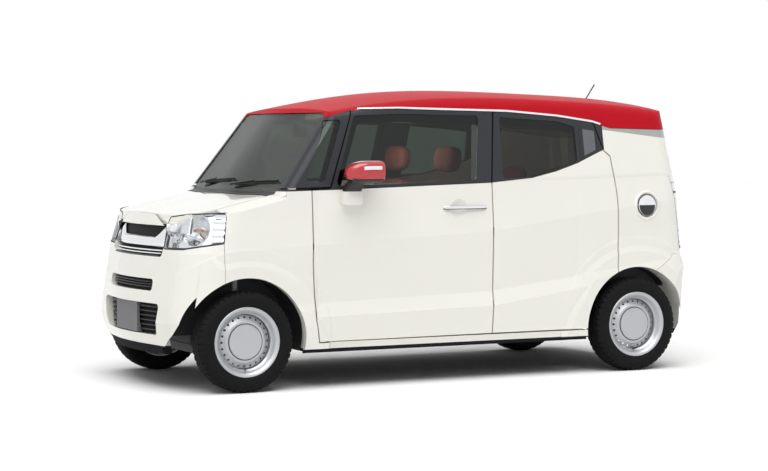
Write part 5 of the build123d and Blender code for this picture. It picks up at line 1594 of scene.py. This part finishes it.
@dataclass
class Cabin:
    """Padded seats and small fittings seen through the glass."""

    voxel: float = 0.010
    frames: int = 16
    pressure: float = 4.0
    sharp_deg: float = 60.0

    def puffed(self, name: str, pad: Pad) -> Patch:
        """Blank of a pad after a short pressure simulation.

        Args:
            name: name of the scratch object.
            pad: the pad.

        Returns:
            The swollen surface, with no point further from its blank than the pad's cap.
        """
        obj = linked(name, meshed(name, pad.blank(), 1e-5))
        bpy.context.view_layer.objects.active = obj
        remesh = obj.modifiers.new("remesh", "REMESH")
        remesh.mode = "VOXEL"
        remesh.voxel_size = self.voxel
        bpy.ops.object.modifier_apply(modifier=remesh.name)
        before = mesh_points(obj.data)
        cloth = obj.modifiers.new("cloth", "CLOTH")
        cloth.settings.use_pressure = True
        cloth.settings.uniform_pressure_force = self.pressure
        cloth.settings.effector_weights.gravity = 0.0
        scene = bpy.context.scene
        for frame in range(1, self.frames + 1):
            scene.frame_set(frame)
        bpy.ops.object.modifier_apply(modifier=cloth.name)
        scene.frame_set(1)
        after = mesh_points(obj.data)
        move = after - before
        far = np.maximum(np.linalg.norm(move, axis=1, keepdims=True), 1e-9)
        points = before + move * np.minimum(1.0, pad.cap / far)
        polygons = obj.data.polygons
        corners = np.empty(len(obj.data.loops), int)
        obj.data.loops.foreach_get("vertex_index", corners)
        if len(corners) != 4 * len(polygons):
            raise ValueError(f"{name}: the remesh left faces that are not quads")
        bpy.data.objects.remove(obj)
        return Patch(points, corners.reshape(-1, 4))

    def seats(self, shop: Workshop) -> None:
        """Makes every seat pad, the right-hand ones as copies of the left-hand ones."""
        made: list[tuple[str, Patch]] = []
        for seat, node, y, pads in PADS:
            made = [(pad.name, self.puffed(pad.name, pad)) for pad in pads] if pads else made
            for index, (name, patch) in enumerate(made):
                stands_for = (node,) if node and index == 0 else ()
                shape = [patch.moved((0.0, y, 0.0))]
                obj = shop.piece(f"{name}_{seat}", shape, Paint.SEAT, "chassis", stands_for, self.sharp_deg)
                smooth = obj.modifiers.new("smooth", "SUBSURF")
                smooth.levels = 1
                smooth.render_levels = 1

    def build(self, shop: Workshop) -> None:
        """Makes the pieces of the cabin."""
        self.seats(shop)
        stalk_path = along(((0.640, 0.0, 1.475), (0.600, 0.0, 1.440)), 4)
        stalk = swept(stalk_path, round_section(0.010, 12), (0.0, 1.0, 0.0))
        glass_path = np.array([(0.585, 0.0, 1.425), (0.600, 0.0, 1.425)])
        glass = swept(glass_path, soft_section(0.210, 0.066, 4.0, 28), UP, (0.9, 1.0))
        shop.piece("inner_mirror", [stalk, glass], Paint.BLACK)
        hood_path = along(((0.640, -0.560, 1.000), (0.640, -0.330, 1.012), (0.640, -0.100, 1.000)), 16)
        size = np.concatenate([np.linspace(0.7, 1.0, 4), np.ones(8), np.linspace(1.0, 0.7, 4)])
        hood = swept(hood_path, soft_section(0.170, 0.044, 3.0, 24), UP, size)
        shop.piece("meter_hood", [hood], Paint.CABIN)


@dataclass
class Wipers:
    """Two arms and blades at the foot of the windscreen."""

    probe: SkinProbe
    blades: tuple[tuple[float, float, float, float], ...] = (
        (-0.480, 0.060, 1.128, 1.150), (0.080, 0.560, 1.128, 1.146),
    )
    blade_lift: float = 0.010
    arm_lift: float = 0.020

    def build(self, shop: Workshop) -> None:
        """Makes the wipers."""
        patches = []
        u = np.linspace(0.0, 1.0, 26)
        for y0, y1, z0, z1 in self.blades:
            places = np.stack([y0 + u * (y1 - y0), z0 + u * (z1 - z0)], -1)
            path, normals = self.probe.ahead(places, 1, self.blade_lift)
            patches.append(swept(path, soft_section(0.008, 0.016, 2.5, 10), normals))
            places = np.stack([y0 + u * (0.5 * (y1 - y0)), z0 - 0.012 + u * (z1 - z0 + 0.006)], -1)
            arm, normals = self.probe.ahead(places, 1, self.arm_lift)
            size = np.linspace(1.2, 0.6, 26)
            patches.append(swept(arm, soft_section(0.014, 0.010, 3.0, 10), normals, size))
        shop.piece("wipers", patches, Paint.BLACK)


@dataclass
class Tail:
    """Handle, wiper, high lamp and reflectors on the back."""

    probe: SkinProbe

    def bar(self, y: tuple[float, float], z: float, width: float, height: float, lift: float) -> Patch:
        """Rounded bar across the tail."""
        across = np.linspace(*y, 40)
        path, normals = self.probe.ahead(np.stack([across, np.full(40, z)], -1), -1, lift)
        ends = np.clip((1.0 - np.abs(np.linspace(-1.0, 1.0, 40)) ** 24), 0.2, 1.0)
        return swept(path, soft_section(height, width, 3.0, 16), normals, ends)

    def build(self, shop: Workshop) -> None:
        """Makes the pieces of the back."""
        # Name, first and last Y of each bar, then Z, width, height and lift, finish and body
        pieces = (
            ("tail_garnish", ((-0.230, 0.230),), (1.020, 0.012, 0.034, 0.002), Paint.CHROME, "tailgate"),
            ("high_lamp", ((-0.130, 0.130),), (1.535, 0.008, 0.022, 0.001), Paint.LENS_RED, "tailgate"),
            ("rear_wiper", ((-0.260, 0.060),), (1.150, 0.012, 0.014, 0.012), Paint.BLACK, "tailgate"),
            (
                "rear_reflectors", ((-0.560, -0.440), (0.440, 0.560)), (0.470, 0.006, 0.030, 0.001),
                Paint.LENS_RED, "chassis",
            ),
        )
        for name, spans, sizes, paint, body in pieces:
            shop.piece(name, [self.bar(span, *sizes) for span in spans], paint, body)


# Studio


@dataclass(frozen=True)
class Studio:
    """Floor, lights and camera."""

    eye: tuple[float, float, float] = (5.749, 11.287, 1.394)
    yaw_deg: float = -116.803
    pitch_deg: float = -2.669
    lens_mm: float = 99.24
    floor_half: float = 40.0
    cabin_lamp: tuple[float, float, float] = (0.10, 0.0, 1.36)
    cabin_watts: float = 15.0
    surround: tuple[float, float] = (0.30, 1.0)
    suns: tuple[tuple[str, float, float, float, float], ...] = (
        ("top", 62.0, 68.0, 60.0, 2.6), ("side", 50.0, 34.0, 50.0, 0.35),
    )

    def floor(self) -> None:
        """Lays a plain pale floor."""
        mesh = bpy.data.meshes.new("floor")
        h = self.floor_half
        mesh.from_pydata([(-h, -h, 0), (h, -h, 0), (h, h, 0), (-h, h, 0)], [], [(0, 1, 2, 3)])
        mesh.materials.append(Finish("floor", "", (0.96, 0.96, 0.96), 0.9, specular=0.0).make())
        obj = linked("floor", mesh)

    @staticmethod
    def heading(azimuth_deg: float, height_deg: float) -> Vector:
        """Unit vector at an azimuth, from +X towards +Y, and a height above the floor."""
        turn, lift = math.radians(azimuth_deg), math.radians(height_deg)
        return Vector((math.cos(lift) * math.cos(turn), math.cos(lift) * math.sin(turn), math.sin(lift)))

    def sun(
        self, name: str, azimuth_deg: float, height_deg: float, spread_deg: float, strength: float
    ) -> None:
        """Adds one soft far light.

        Args:
            name: name of the light.
            azimuth_deg: direction it comes from, from +X towards +Y.
            height_deg: its height above the floor.
            spread_deg: its width in the sky.
            strength: irradiance square to it.
        """
        data = bpy.data.lights.new(name, "SUN")
        data.energy = strength
        data.angle = math.radians(spread_deg)
        come = self.heading(azimuth_deg, height_deg)
        linked(name, data).rotation_euler = (-come).to_track_quat("-Z", "Y").to_euler()

    def lights(self) -> None:
        """Places soft lights, a lamp in the cabin and a pale surround."""
        data = bpy.data.lights.new("cabin", "POINT")
        data.energy = self.cabin_watts
        data.shadow_soft_size = 0.25
        linked("cabin", data).location = self.cabin_lamp
        for sun in self.suns:
            self.sun(*sun)
        graph = Graph(bpy.data.worlds.new("surround"), "ShaderNodeOutputWorld")
        dim, bright = (
            graph.shader("ShaderNodeBackground", {"Color": (1.0, 1.0, 1.0), "Strength": strength})
            for strength in self.surround
        )
        path = graph.node("ShaderNodeLightPath")
        seen = Wire(graph, path.outputs["Is Camera Ray"]).most(Wire(graph, path.outputs["Is Glossy Ray"]))
        graph.close(graph.shader("ShaderNodeMixShader", {0: seen, 1: dim, 2: bright}))
        bpy.context.scene.world = graph.owner
        bpy.context.scene.view_settings.view_transform = "Standard"

    def camera(self) -> None:
        """Sets the camera at the photograph's place."""
        data = bpy.data.cameras.new("camera")
        data.lens = self.lens_mm
        data.sensor_width = 36.0
        data.sensor_fit = "HORIZONTAL"
        data.clip_end = 200.0
        obj = linked("camera", data)
        obj.location = self.eye
        ahead = self.heading(self.yaw_deg, self.pitch_deg)
        obj.rotation_euler = ahead.to_track_quat("-Z", "Y").to_euler()
        bpy.context.scene.camera = obj


def main() -> None:
    """Builds the scene."""
    logging.basicConfig(level=logging.INFO)
    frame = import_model()
    nodes = frame["nodes"]
    looks = Looks()
    dress_frame(nodes, looks)
    shop = Workshop(looks)
    for name, axle_x, side in WHEELS:
        Wheel(name, axle_x, side).build(shop)
    Nose(SkinProbe(nodes, ("front_bumper", "bonnet", "front_fenders"))).build(shop)
    face = SkinProbe(nodes, ("headlamps", "front_bumper", "front_fenders", "bonnet"))
    for side in Side:
        Headlamp(face, side).build(shop)
        DoorMirror(side).build(shop)
        Flank(side, nodes).build(shop)
    Wipers(SkinProbe(nodes, ("fixed_glass", "cowl_panel", "bonnet"))).build(shop)
    Tail(SkinProbe(nodes, ("tailgate", "tailgate_glass", "rear_bumper", "rear_plate"))).build(shop)
    Cabin().build(shop)
    studio = Studio()
    studio.floor()
    studio.lights()
    studio.camera()


if __name__ == "__main__":
    main()
